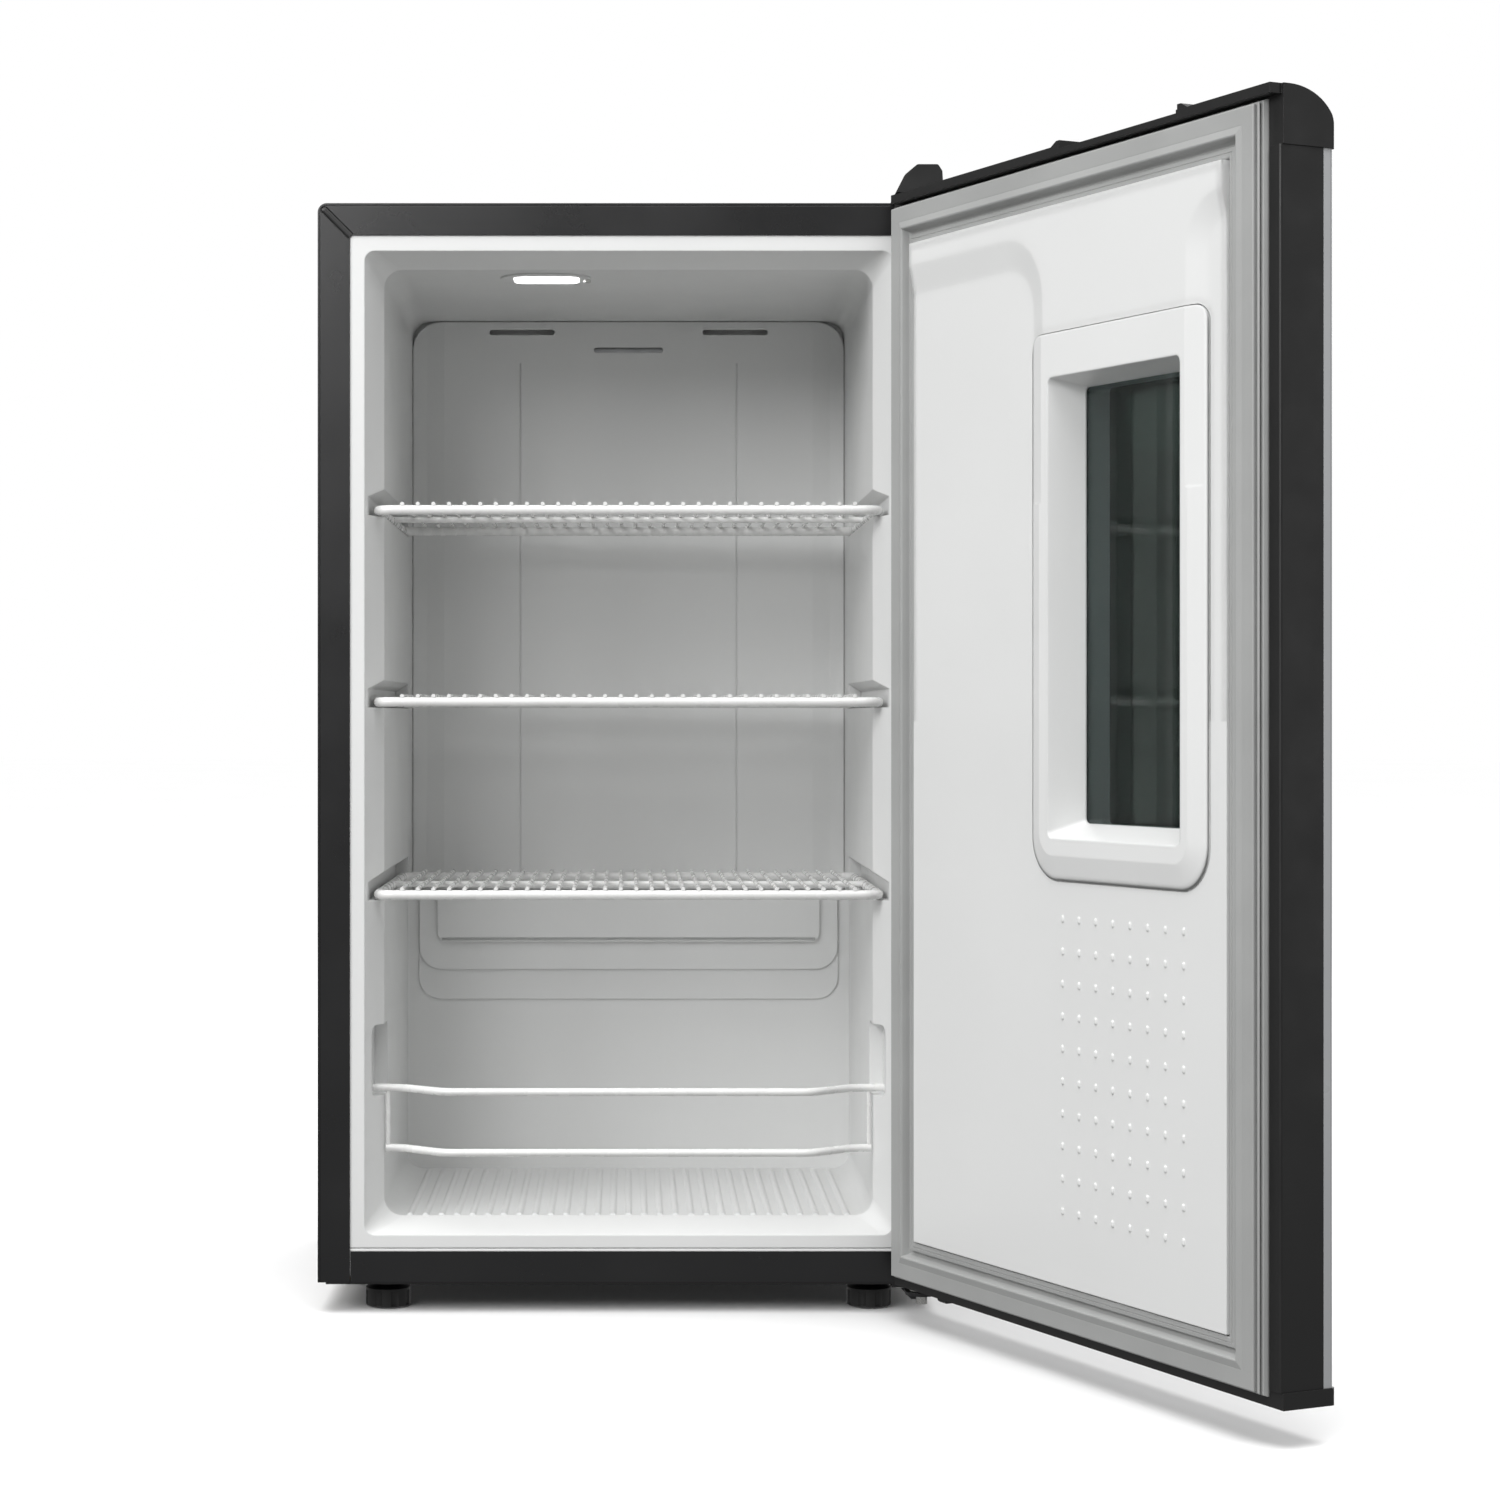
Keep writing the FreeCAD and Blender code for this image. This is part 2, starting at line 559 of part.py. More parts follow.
def bottle_guard():
    """Bowed wire rail that hangs by its hooked ends in the side pockets."""
    def rail(z, reach):
        """One bowed rail's path at a height."""
        return [
            place(-reach, GUARD_BACK, z), place(-174, GUARD_BACK, z), place(-140, GUARD_FRONT, z),
            place(140, GUARD_FRONT, z), place(174, GUARD_BACK, z), place(reach, GUARD_BACK, z),
        ]
    upper = rod(rail(GUARD_HIGH, 196.5), GUARD_ROD, 24.0)
    lower = rod(rail(GUARD_LOW, 186.5), GUARD_ROD, 24.0)
    uprights = []
    for side in (-1, 1):
        foot = place(side * 184.8, GUARD_BACK, GUARD_LOW)
        uprights.append(straight_rod(foot, foot + UP * (GUARD_HIGH - GUARD_LOW), 1.7))
    return fuse([upper, lower] + uprights)


def levelling_foot(x):
    """Scalloped knob with its threaded stud."""
    knob = Part.makeCylinder(FOOT_RADIUS, 13.5, place(x, FOOT_INSET, 1.5))
    pad = Part.makeCone(13.5, FOOT_RADIUS, 1.5, place(x, FOOT_INSET, 0))
    shoulder = Part.makeCone(FOOT_RADIUS, 12.0, 3.0, place(x, FOOT_INSET, 15))
    neck = disc(x, FOOT_INSET, 17.5, 12.0, 4.0)
    stud = disc(x, FOOT_INSET, 21, 4.0, 10.5)
    foot = fuse([pad, knob, shoulder, neck, stud])
    scallops = []
    for i in range(FOOT_LOBES):
        angle = 2 * math.pi * (i + 0.5) / FOOT_LOBES
        centre_x = x + (FOOT_RADIUS + 3.2) * math.cos(angle)
        centre_depth = FOOT_INSET + (FOOT_RADIUS + 3.2) * math.sin(angle)
        scallops.append(disc(centre_x, centre_depth, 2.2, 4.6, 11))
    return cut_all(foot, scallops)


def foot_nuts():
    """Hexagon nuts on the base plate for the levelling feet's studs."""
    nuts = []
    for x in (-FOOT_X, FOOT_X):
        points = []
        for i in range(6):
            angle = math.radians(30 + i * 60)
            depth = FOOT_INSET + 7.5 * math.sin(angle)
            points.append(place(x + 7.5 * math.cos(angle), depth, CABINET_BOTTOM))
        nuts.append(polygon_prism(points, UP * 7).cut(disc(x, FOOT_INSET, 20, 4.05, 15)))
    return nuts


def rear_feet():
    """Fixed moulded feet that press into the tray."""
    feet = []
    for x in (-FOOT_X, FOOT_X):
        body = Part.makeCone(14.0, 17.0, 21.9, place(x, REAR_FOOT_DEPTH, 0.0))
        plug = disc(x, REAR_FOOT_DEPTH, 21.5, 3.0, 6.5)
        feet.append(body.fuse(plug).removeSplitter())
    return feet


# ---- hinges -------------------------------------------------------------------------------
def top_hinge_bracket():
    """Stepped plate on the cabinet's top that carries the upper pin."""
    foot = block(203.5, 231.5, 4, 42, CABINET_TOP, CABINET_TOP + 2.5)
    riser = block(208, 231.5, 2.5, 6, CABINET_TOP, TOP_PLATE[1])
    arm = block(208, 231.5, HINGE_DEPTH, 6, *TOP_PLATE)
    nose = disc(HINGE_X, HINGE_DEPTH, TOP_PLATE[0], 11.5, TOP_PLATE[1] - TOP_PLATE[0])
    holes = [disc(x, d, 835, 2.05, 20) for x, d in TOP_SCREWS]
    holes.append(disc(HINGE_X, HINGE_DEPTH, 835, PIN_RADIUS, 30))
    return cut_all(fuse([foot, riser, arm, nose]), holes)


def top_hinge_pin():
    """Headed pin that hangs from the upper bracket."""
    shank = disc(HINGE_X, HINGE_DEPTH, 830.0, PIN_RADIUS, TOP_PLATE[1] + 2.5 - 830.0)
    head = disc(HINGE_X, HINGE_DEPTH, TOP_PLATE[1], 6.0, 2.5)
    return shank.fuse(head).removeSplitter()


def hinge_cover():
    """Sloped black cap over the top hinge."""
    def prism(inset, low, high):
        """The cap's outside, smaller by inset, between two heights."""
        outline = [
            (199.0 + inset, low, 0), (235.2 - inset, low, 0), (234.2 - inset, high - 5, 2),
            (231.0 - inset, high, 2), (215.5 + inset, high, 3), (206.0 + inset, high - 8, 8),
        ]
        wire = rounded_outline([(place(x, -41 + inset, z), radius) for x, z, radius in outline])
        return Part.Face(wire).extrude(BACKWARD * (91 - 2 * inset))
    shell = prism(0, CABINET_TOP, 865.3).cut(prism(2.0, CABINET_TOP - 1, 863.3))
    return shell.cut(block(180, 250, -60, 0.0, 830, TOP_PLATE[0] - 0.6))


def bottom_hinge_bracket():
    """Cranked plate below the cabinet that carries the lower pin."""
    top = CABINET_BOTTOM - 1.5
    pad = block(200, 233, 2, 44, top - 2.5, top)
    arm = block(208, 226, HINGE_DEPTH, 8, top - 2.5, top)
    nose = disc(HINGE_X, HINGE_DEPTH, top - 2.5, 12.0, 2.5)
    gusset = [place(206, -11, top - 1), place(213.5, -11, 13.0),
              place(223.5, -11, 13.0), place(228, -11, top - 1)]
    web = polygon_prism(gusset, BACKWARD * 3)
    holes = [disc(x, d, 10, 2.05, 20) for x, d in BOTTOM_SCREWS]
    holes.append(disc(HINGE_X, HINGE_DEPTH, 0, PIN_RADIUS, 30))
    holes.append(disc(FOOT_X, FOOT_INSET, 10, FOOT_RADIUS + 1.5, 30))
    return cut_all(fuse([pad, arm, nose, web]), holes)


def bottom_hinge_pin():
    """Pin that stands up from the lower bracket, with its head below."""
    shank = disc(HINGE_X, HINGE_DEPTH, 12.6, PIN_RADIUS, 38.0 - 12.6)
    head = disc(HINGE_X, HINGE_DEPTH, 12.6, 4.2, CABINET_BOTTOM - 4.0 - 12.6)
    return shank.fuse(head).removeSplitter()


# ---- machine compartment ------------------------------------------------------------------
def compressor():
    """Hermetic pot: a welded drum with domed ends on a stamped foot."""
    drum = disc(COMPRESSOR_X, COMPRESSOR_DEPTH, 42, COMPRESSOR_RADIUS, 128.0)
    ends = [e for e in drum.Edges if e.Curve.TypeId == "Part::GeomCircle"]
    drum = drum.makeFillet(26.0, ends)
    seam = disc(COMPRESSOR_X, COMPRESSOR_DEPTH, 108, COMPRESSOR_RADIUS + 2, 4.0)
    foot = block(-112, 32, 318, 384, 38.0, 41.5)
    column = disc(COMPRESSOR_X, COMPRESSOR_DEPTH, 38, 30.0, 12)
    stubs = [
        disc(COMPRESSOR_X + 40, COMPRESSOR_DEPTH - 10, 130, 4.0, 26, Vector(1, 0, 0)),
        disc(COMPRESSOR_X + 40, COMPRESSOR_DEPTH + 12, 80, 3.2, 26, Vector(1, 0, 0)),
    ]
    body = fuse([drum, seam, foot, column] + stubs)
    holes = [disc(x, d, 30, 4.6, 15) for x, d in COMPRESSOR_STUDS]
    return cut_all(body, holes)


def compressor_grommets():
    """Rubber mounts between the compressor foot and the tray."""
    grommets = []
    for x, d in COMPRESSOR_STUDS:
        lower = disc(x, d, CABINET_BOTTOM, 9.0, 38.0 - CABINET_BOTTOM)
        waist = disc(x, d, 37.5, 4.6, 4.5)
        upper = disc(x, d, 41.5, 7.5, 3.0)
        grommets.append(fuse([lower, waist, upper]).cut(disc(x, d, 20, 3.1, 40)))
    return grommets


def compressor_bolts():
    """Bolts with washers that hold the compressor down."""
    bolts = []
    for x, d in COMPRESSOR_STUDS:
        shank = disc(x, d, 19.5, 3.0, 27.5)
        washer = disc(x, d, 44.6, 7.0, 1.2)
        head = disc(x, d, 45.6, 5.0, 3.6)
        bolts.append(fuse([shank, washer, head]))
    return bolts


def relay_cover():
    """Box over the electrics on the side of the pot."""
    outer = block(-118, -84, 328, 374, 70, 104)
    upright = [e for e in outer.Edges if abs(e.CenterOfMass.z - 87) < 0.1]
    drum = disc(COMPRESSOR_X, COMPRESSOR_DEPTH, 60, COMPRESSOR_RADIUS + 0.1, 120.0)
    return outer.makeFillet(4.0, upright).cut(drum)


def condenser():
    """Wire-on-tube grid behind the rear panel, with its two connecting runs."""
    reach = 200.0
    step = (CONDENSER_HIGH - CONDENSER_LOW) / (CONDENSER_PASSES - 1)
    points = [place(-reach, CONDENSER_DEPTH, CONDENSER_LOW - 24)]
    for i in range(CONDENSER_PASSES):
        z = CONDENSER_LOW + i * step
        side = -1 if i % 2 == 0 else 1
        points += [place(side * reach, CONDENSER_DEPTH, z), place(-side * reach, CONDENSER_DEPTH, z)]
    points[-1] = place(DOWNCOMER_X, CONDENSER_DEPTH, CONDENSER_HIGH)
    points += [place(DOWNCOMER_X, CONDENSER_DEPTH, 212), place(DRIER_X, CONDENSER_DEPTH, 212)]
    points.append(place(DRIER_X, CONDENSER_DEPTH, DRIER_TOP))
    tube = rod(points, 2.5, step / 2 - 0.5)
    wires = []
    for i in range(-12, 13):
        start = place(i * 14.5, CONDENSER_DEPTH + 3.0, CONDENSER_LOW - 8)
        wires.append(straight_rod(start, start + UP * (CONDENSER_HIGH - CONDENSER_LOW + 16), 0.9))
    return fuse([tube] + wires)


def condenser_brackets():
    """Stand-offs screwed to the rear panel that clip the condenser's tube."""
    brackets = []
    for x, z in BRACKET_POINTS:
        near = CONDENSER_LOW if z < 500 else CONDENSER_HIGH
        arm = block(x - 7, x + 7, 395.8, 405.8, min(z, near) - 6, max(z, near) + 6)
        clip = block(x - 7, x + 7, 405.5, 408.6, near - 5, near + 5)
        groove = Part.makeCylinder(2.55, 40, place(x - 20, CONDENSER_DEPTH, near), Vector(1, 0, 0))
        recess = disc(x, 398.5, z, 5.0, 20, BACKWARD)
        hole = disc(x, 390, z, 2.05, 30, BACKWARD)
        brackets.append(cut_all(arm.fuse(clip).removeSplitter(), [groove, recess, hole]))
    return brackets


def suction_line():
    """Larger tube from the evaporator down to the compressor."""
    back = COMPRESSOR_DEPTH - 10
    points = [place(SUCTION_X, 286, SUCTION_Z), place(SUCTION_X, back, SUCTION_Z),
              place(SUCTION_X, back, 130), place(COMPRESSOR_X + 66.1, back, 130)]
    return rod(points, 3.2, 14.0)


def discharge_line():
    """Tube from the compressor up to the lowest pass of the condenser."""
    points = [
        place(COMPRESSOR_X + 66.1, COMPRESSOR_DEPTH + 12, 80), place(60, COMPRESSOR_DEPTH + 12, 80),
        place(60, CONDENSER_DEPTH, 80), place(60, CONDENSER_DEPTH, 232),
        place(-200, CONDENSER_DEPTH, 232), place(-200, CONDENSER_DEPTH, CONDENSER_LOW - 24.1),
    ]
    return rod(points, 2.5, 11.0)


def filter_drier():
    """Copper drier between the condenser and the capillary tube."""
    centre = (DRIER_X, CONDENSER_DEPTH)
    drum = disc(*centre, DRIER_TOP - 79, 8.5, 70)
    upper = Part.makeCone(8.5, 2.6, 8.9, place(*centre, DRIER_TOP - 9))
    lower = Part.makeCone(8.5, 2.0, 9, place(*centre, DRIER_TOP - 79), UP * -1)
    return fuse([drum, upper, lower])


def capillary_tube():
    """Fine tube from the drier up into the foam."""
    low = DRIER_TOP - 88.1
    points = [
        place(DRIER_X, CONDENSER_DEPTH, low), place(DRIER_X, CONDENSER_DEPTH, low - 20),
        place(DRIER_X, 330, low - 20), place(DRIER_X, 330, 235), place(CAPILLARY_X, 330, 235),
        place(CAPILLARY_X, 330, SUCTION_Z), place(CAPILLARY_X, 286, SUCTION_Z),
    ]
    return rod(points, 1.1, 6.0)


def drain_tube():
    """Tube that leads melt water down to the drip tray."""
    bore = disc(DRAIN_X, DRAIN_DEPTH, 190, 5.4, 200)
    return disc(DRAIN_X, DRAIN_DEPTH, 196, 7.0, HUMP_TOP - 196).cut(bore)


def drip_tray():
    """Open tray on top of the compressor."""
    top_of_drum = 170.0
    outer = block(-185, -20, 312, 388, top_of_drum, top_of_drum + 15)
    return outer.cut(block(-183, -22, 314, 386, top_of_drum + 2, top_of_drum + 30))


def thermostat():
    """Control body on its mounting plate, with the shaft for the dial."""
    body = block(176, 212, 335, 376, 120, 168)
    plate = block(168, HALF - 1.1, 376, 378, 112, 176)
    shaft = disc(DIAL_X, 378, DIAL_Z, 2.6, 5.5, BACKWARD)
    return fuse([body, plate, shaft])


def thermostat_knob():
    """Knurled dial with its pointer rib."""
    dial = disc(DIAL_X, 379.0, DIAL_Z, 15.0, 11.0, BACKWARD)
    rib = block(DIAL_X - 1.2, DIAL_X + 1.2, 389.5, 391.5, DIAL_Z, DIAL_Z + 14.5)
    bore = disc(DIAL_X, 378.5, DIAL_Z, 2.65, 6, BACKWARD)
    flutes = []
    for i in range(18):
        angle = math.radians(i * 20)
        x, z = DIAL_X + 15.8 * math.cos(angle), DIAL_Z + 15.8 * math.sin(angle)
        flutes.append(disc(x, 381, z, 1.6, 12, BACKWARD))
    return cut_all(dial.fuse(rib), [bore] + flutes)


def power_inlet():
    """Bush in the compartment's edge where the mains lead would leave."""
    flange = disc(INLET_X, 378, INLET_Z, 9.0, 2.5, BACKWARD)
    sleeve = disc(INLET_X, 366, INLET_Z, 6.5, 12.5, BACKWARD)
    bore = disc(INLET_X, 360, INLET_Z, 3.6, 30, BACKWARD)
    return flange.fuse(sleeve).removeSplitter().cut(bore)


def inlet_plate():
    """Small upright plate that holds the inlet bush."""
    plate = block(INLET_X - 22, INLET_X + 22, 376.4, 378.0, CABINET_BOTTOM, INLET_Z + 24)
    return plate.cut(disc(INLET_X, 360, INLET_Z, 6.6, 30, BACKWARD))


# ---- door ---------------------------------------------------------------------------------
def door_ring(s0, s1, z0, z1, t0, t1, width):
    """Rectangular ring on the shut door with walls of one width."""
    outer = door_block(s0, s1, t0, t1, z0, z1)
    return outer.cut(door_block(s0 + width, s1 - width, t0 - 1, t1 + 1, z0 + width, z1 - width))


def door_plan(inset, front, low, high):
    """The slab's plan, rounded at both front corners and inset from its outside."""
    start, end = DOOR_START + inset, DOOR_END - inset
    corners = [
        (door_point(start, -30, low), 0), (door_point(end, -30, low), 0),
        (door_point(end, front - inset, low), FREE_EDGE_RADIUS - inset),
        (door_point(start, front - inset, low), HINGE_EDGE_RADIUS - inset),
    ]
    return Part.Face(rounded_outline(corners)).extrude(UP * (high - low))


def front_skin():
    """Silver sheet with rounded upright edges and the window's hole."""
    low = DOOR_BOTTOM + FOOT_CAP_HEIGHT
    high = DOOR_TOP - CAP_HEIGHT
    skin = door_plan(0, DOOR_FRONT, low, high).cut(door_plan(1.2, DOOR_FRONT, low, high))
    skin = skin.cut(door_block(-50, 500, -60, SKIN_BACK, 0, 900))
    return skin.cut(glazing(0, 60, 7.0, 10))


def side_trims():
    """Black channels along both upright edges, behind the skin's rounded edge."""
    low = DOOR_BOTTOM + FOOT_CAP_HEIGHT
    high = DOOR_TOP - CAP_HEIGHT
    trims = []
    for outer, inward, foot in ((DOOR_START, 1, GASKET_START), (DOOR_END, -1, GASKET_END)):
        s0, s1 = sorted((outer, outer + inward * 1.8))
        wall = door_block(s0, s1, TRIM_BACK, SKIN_BACK - 0.1, low, high)
        r0, r1 = sorted((outer, foot - inward * 1.8))
        rim = door_block(r0, r1, TRIM_BACK, DOOR_BACK + LINER, low, high)
        l0, l1 = sorted((outer, foot + inward * 2.8))
        lip = door_block(l0, l1, DOOR_BACK, DOOR_BACK + LINER, low, high)
        trim = fuse([wall, rim, lip])
        corner = door_point(outer, TRIM_BACK, 0)
        upright = [e for e in trim.Edges if e.Length > 700]
        offsets = [(e.CenterOfMass - corner).projectToPlane(Vector(), UP).Length for e in upright]
        rounded = [e for e, offset in zip(upright, offsets) if offset < 0.01]
        trims.append(trim.makeFillet(1.7, rounded))
    return trims


def cap_profile(inset):
    """Section of the top cap: an upright front that rolls over to the flat top."""
    low, top = DOOR_TOP - CAP_HEIGHT, DOOR_TOP - inset
    front, back = DOOR_FRONT + 1.4 - inset, DOOR_BACK + inset
    spring = DOOR_TOP - CAP_SPRING
    start, crest_point = door_point(0, front, spring), door_point(0, CAP_FLAT, top)
    roll = Part.Ellipse(start, crest_point, door_point(0, CAP_FLAT, spring))
    corners = [crest_point, door_point(0, back, top), door_point(0, back, low),
               door_point(0, front, low), start]
    edges = [Part.ArcOfEllipse(roll, 0, math.pi / 2).toShape(), Part.makePolygon(corners)]
    return Part.Face(Part.Wire(edges))


def top_cap():
    """Black moulded cap with the finger pocket, its rim and its two cheeks."""
    low = DOOR_TOP - CAP_HEIGHT

    def shape(inset):
        """The cap's outside, smaller by inset."""
        face = cap_profile(inset)
        face.translate(Vector(30, 0, 0))
        beam = face.extrude(Vector(-560, 0, 0))
        return beam.common(door_plan(inset - 1.0, DOOR_FRONT + 0.4, low - 1, DOOR_TOP + 1))
    boss = disc(HINGE_X, HINGE_DEPTH, 824, 10.0, 18)
    shell = shape(0).cut(shape(2.4))
    lip = door_block(-6.0, 455.0, 3.0, DOOR_BACK + 1, DOOR_TOP - 6.5, DOOR_TOP)
    walls = [
        door_block(GRIP_START - 3, GRIP_END + 3, DOOR_BACK + 0.5, 36.5, 818.0, 820.5),
        door_block(GRIP_START - 3, GRIP_END + 3, 36.5, 39.0, 818.0, DOOR_TOP - 6),
    ]
    for edge, away in ((GRIP_START, -1), (GRIP_END, 1)):
        profile = [
            door_point(edge + away * 12.5, 4.0, 842.0), door_point(edge + away * 1.5, 4.0, GRIP_CREST),
            door_point(edge - away * 2.5, 4.0, GRIP_CREST), door_point(edge - away * 2.5, 4.0, 818.0),
            door_point(edge, 4.0, 818.0), door_point(edge, 4.0, 838.0),
            door_point(edge + away * 12.5, 4.0, 838.0),
        ]
        cheek = polygon_prism(profile, Vector(0, -32.0, 0))
        walls.append(cheek.common(door_block(0, 500, 3, 36, 838, 900)))
        inner = sorted((edge, edge - away * 2.5))
        walls.append(door_block(inner[0], inner[1], DOOR_BACK + 0.5, 37, 818, 842))
    solid = fuse([shell, boss, lip] + walls)
    dip = door_block(GRIP_START + 2.5, GRIP_END - 2.5, 0, 36.5, 841.4, 900)
    pocket = door_block(GRIP_START + 2.5, GRIP_END - 2.5, 14.4, 36.5, 820.5, 900)
    bush_hole = disc(HINGE_X, HINGE_DEPTH, 820, 7.0, 30)
    return cut_all(solid, [dip, pocket, bush_hole])


def bottom_cap():
    """Black foot of the door with its stop nose beside the lower pin."""
    low, high = DOOR_BOTTOM - 0.3, DOOR_BOTTOM + FOOT_CAP_HEIGHT
    behind = door_block(-50, 500, -60, DOOR_BACK, 0, 60)
    outer = door_plan(-1.0, DOOR_FRONT + 0.4, low, high).cut(behind)
    inner = door_plan(1.4, DOOR_FRONT + 0.4, low + 2.4, high + 1)
    inner = inner.cut(door_block(-50, 500, -60, DOOR_BACK + 2.4, 0, 60))
    inner = inner.cut(door_block(-10, 10, 10, 37, 0, 60))
    nose = door_block(2.0, 14.0, 38.6, 47.0, 13.0, low + 1)
    nose_edges = [e for e in nose.Edges if abs(e.CenterOfMass.z - 13.0) < 0.01]
    cap = outer.cut(inner).fuse(nose.makeFillet(2.5, nose_edges)).removeSplitter()
    return cap.cut(disc(HINGE_X, HINGE_DEPTH, 0, 7.0, 50))


def hinge_bushes():
    """Plastic bearings in the door that turn on the two pins."""
    def bush(low, high, flange_low, flange_high):
        """Sleeve with its flange, before it is bored."""
        sleeve = disc(HINGE_X, HINGE_DEPTH, low, 6.9, high - low)
        flange = disc(HINGE_X, HINGE_DEPTH, flange_low, 9.0, flange_high - flange_low)
        return sleeve.fuse(flange).removeSplitter()
    upper = bush(824.0, DOOR_TOP + 1.0, DOOR_TOP, DOOR_TOP + 1.0)
    lower = bush(22.6, 40.0, 22.6, DOOR_BOTTOM - 0.3)
    return [
        upper.cut(disc(HINGE_X, HINGE_DEPTH, 829.0, 3.55, 60)),
        lower.cut(disc(HINGE_X, HINGE_DEPTH, 0, 3.55, 38.4)),
    ]


def crest(inset):
    """The liner's raised top band and the column around the window, with sloping flanks."""
    top, base = CREST_BACK + inset, FIELD_BACK + inset
    band = door_block(PAD_START + inset, PAD_END - inset, top, base, 600, PAD_TOP - inset)
    left = door_loft([(base, -80, FRAME_START, 200, 765.4, 32), (top - 2, -100, 213, 180, 796.9, 54)])
    right = door_loft([(base, FRAME_END, 520, 200, 769.3, 20), (top - 2, 361.2, 535, 185, 793.4, 44)])
    column = door_loft([(base, FRAME_START, FRAME_END, FRAME_LOW, 900, 30),
                        (top, FRAME_START + 14.1, FRAME_END - 17.6, FRAME_LOW + 17, 900, 16)])
    lower = column.common(door_block(0, 450, -10, 30, 0, 600))
    return band.cut(left).cut(right).fuse(lower).removeSplitter()


def raised_pad(inset):
    """All of the liner that stands out inside the gasket."""
    field = door_block(PAD_START + inset, PAD_END - inset, FIELD_BACK + inset, DOOR_BACK + inset,
                       PAD_BOTTOM + inset, PAD_TOP - inset)
    return field.fuse(crest(inset)).removeSplitter()


def dimple():
    """One raised oval nub of the liner's grid."""
    centre = door_point(0, FIELD_BACK + 0.6, 0)
    bar = Part.makeCylinder(1.75, 2.0, centre - UP)
    ends = [Part.makeSphere(1.75, centre - UP), Part.makeSphere(1.75, centre + UP)]
    nub = bar.multiFuse(ends)
    return nub.common(Part.makeBox(10, 10, 10, Vector(HINGE_X - 5, FRONT_Y - FIELD_BACK - 0.5, -5)))


def frame_outline(grow):
    """The window frame's outline, tighter at its upper corners, through the liner."""
    start, end = FRAME_START - grow, FRAME_END + grow
    low, high = FRAME_LOW - grow, FRAME_HIGH + grow
    corners = [
        (door_point(start, 12, low), 30 + grow), (door_point(end, 12, low), 30 + grow),
        (door_point(end, 12, high), 12 + grow), (door_point(start, 12, high), 12 + grow),
    ]
    return Part.Face(rounded_outline(corners)).extrude(BACKWARD * 17)


def door_liner():
    """Moulded white back of the door with its raised pad and its grid of nubs."""
    sheet = door_block(GASKET_START + 3, GASKET_END - 3, DOOR_BACK, DOOR_BACK + LINER,
                       DOOR_BOTTOM + FOOT_CAP_HEIGHT + 0.1, DOOR_TOP - CAP_HEIGHT - 0.1)
    liner = sheet.fuse(raised_pad(0)).cut(raised_pad(LINER))
    nub = dimple()
    nubs = []
    for column in range(8):
        for row in range(10):
            nubs.append(nub.translated(Vector(-224.2 - column * 19.97, 0, 115.7 + row * 22.15)))
    seam = frame_outline(SEAM).cut(frame_outline(0)).common(raised_pad(0)).cut(raised_pad(0.9))
    return cut_all(fuse([liner] + nubs), [window_tunnel(2.2), seam])


def window_tunnel(grow):
    """The tapered hole from the mouth to the inner pane, larger by grow."""
    def section(t, rect, radius):
        """The tunnel's outline at one depth."""
        return (t, rect[0] - grow, rect[1] + grow, rect[2] - grow, rect[3] + grow, radius + grow)
    reach = 3.0 / (GLASS_BACK - CREST_BACK)
    flare = [m + (m - g) * reach for m, g in zip(MOUTH_RECT, SIGHT_RECT)]
    return door_loft([section(CREST_BACK - 3.0, flare, 5.0), section(GLASS_BACK, SIGHT_RECT, 4.0)])


def window_frame():
    """White moulding that follows the pad's folds and lines the hole to the glass."""
    face = crest(-1.0).cut(raised_pad(0)).common(frame_outline(0))
    collar = window_tunnel(2.0).cut(door_block(0, 450, -9, CREST_BACK - 1.0, 0, 900))
    return fuse([face, collar]).cut(window_tunnel(0))


def glazing(t0, t1, margin, radius):
    """Slab over the clear glass, larger than it by margin."""
    s0, s1, z0, z1 = SIGHT_RECT
    return door_prism(s0 - margin, s1 + margin, t0, t1, z0 - margin, z1 + margin, radius)


def inner_glass():
    """Clear pane nearer the food."""
    return glazing(GLASS_BACK, GLASS_BACK + 3.0, 5.0, 5)


def glass_spacer():
    """Ring that keeps the two panes apart."""
    ring = glazing(GLASS_BACK + 3.0, GLASS_FRONT, 5.0, 5)
    return ring.cut(glazing(GLASS_BACK, GLASS_FRONT + 1, 0.5, 4))


def outer_glass():
    """Smoked pane nearer the room."""
    return glazing(GLASS_FRONT, GLASS_FRONT + 4.0, 5.0, 9)


def window_bezel():
    """Black ring that holds the outer pane in the skin."""
    ring = glazing(GLASS_FRONT, DOOR_FRONT + 0.5, 6.8, 11)
    flange = glazing(DOOR_FRONT + 0.1, DOOR_FRONT + 1.4, 12.0, 16)
    hole = glazing(GLASS_FRONT - 0.2, GLASS_FRONT + 4.0, 5.1, 9)
    return fuse([ring, flange]).cut(hole).cut(glazing(40, 60, -6.0, 14))


def door_insulation():
    """Foam that fills the slab, with room for the window and the hinge bearings."""
    low = DOOR_BOTTOM + FOOT_CAP_HEIGHT + 0.1
    high = DOOR_TOP - CAP_HEIGHT - 0.1
    slab = door_plan(1.9, DOOR_FRONT + 0.6, low, high)
    slab = slab.cut(door_block(-50, 500, -60, DOOR_BACK + LINER + 0.1, 0, 900))
    filled = slab.fuse(raised_pad(LINER + 0.1)).removeSplitter()
    pin_room = disc(HINGE_X, HINGE_DEPTH, 0, 10.0, 45)
    return cut_all(filled, [window_tunnel(2.3), glazing(GLASS_BACK - 1, 60, 7.2, 5), pin_room])


def gasket_section_ring(inset, width, t0, t1):
    """Ring of the gasket's section, inset from its outer edge."""
    s0, s1 = GASKET_START + inset, GASKET_END - inset
    return door_ring(s0, s1, GASKET_BOTTOM + inset, GASKET_TOP - inset, t0, t1, width)


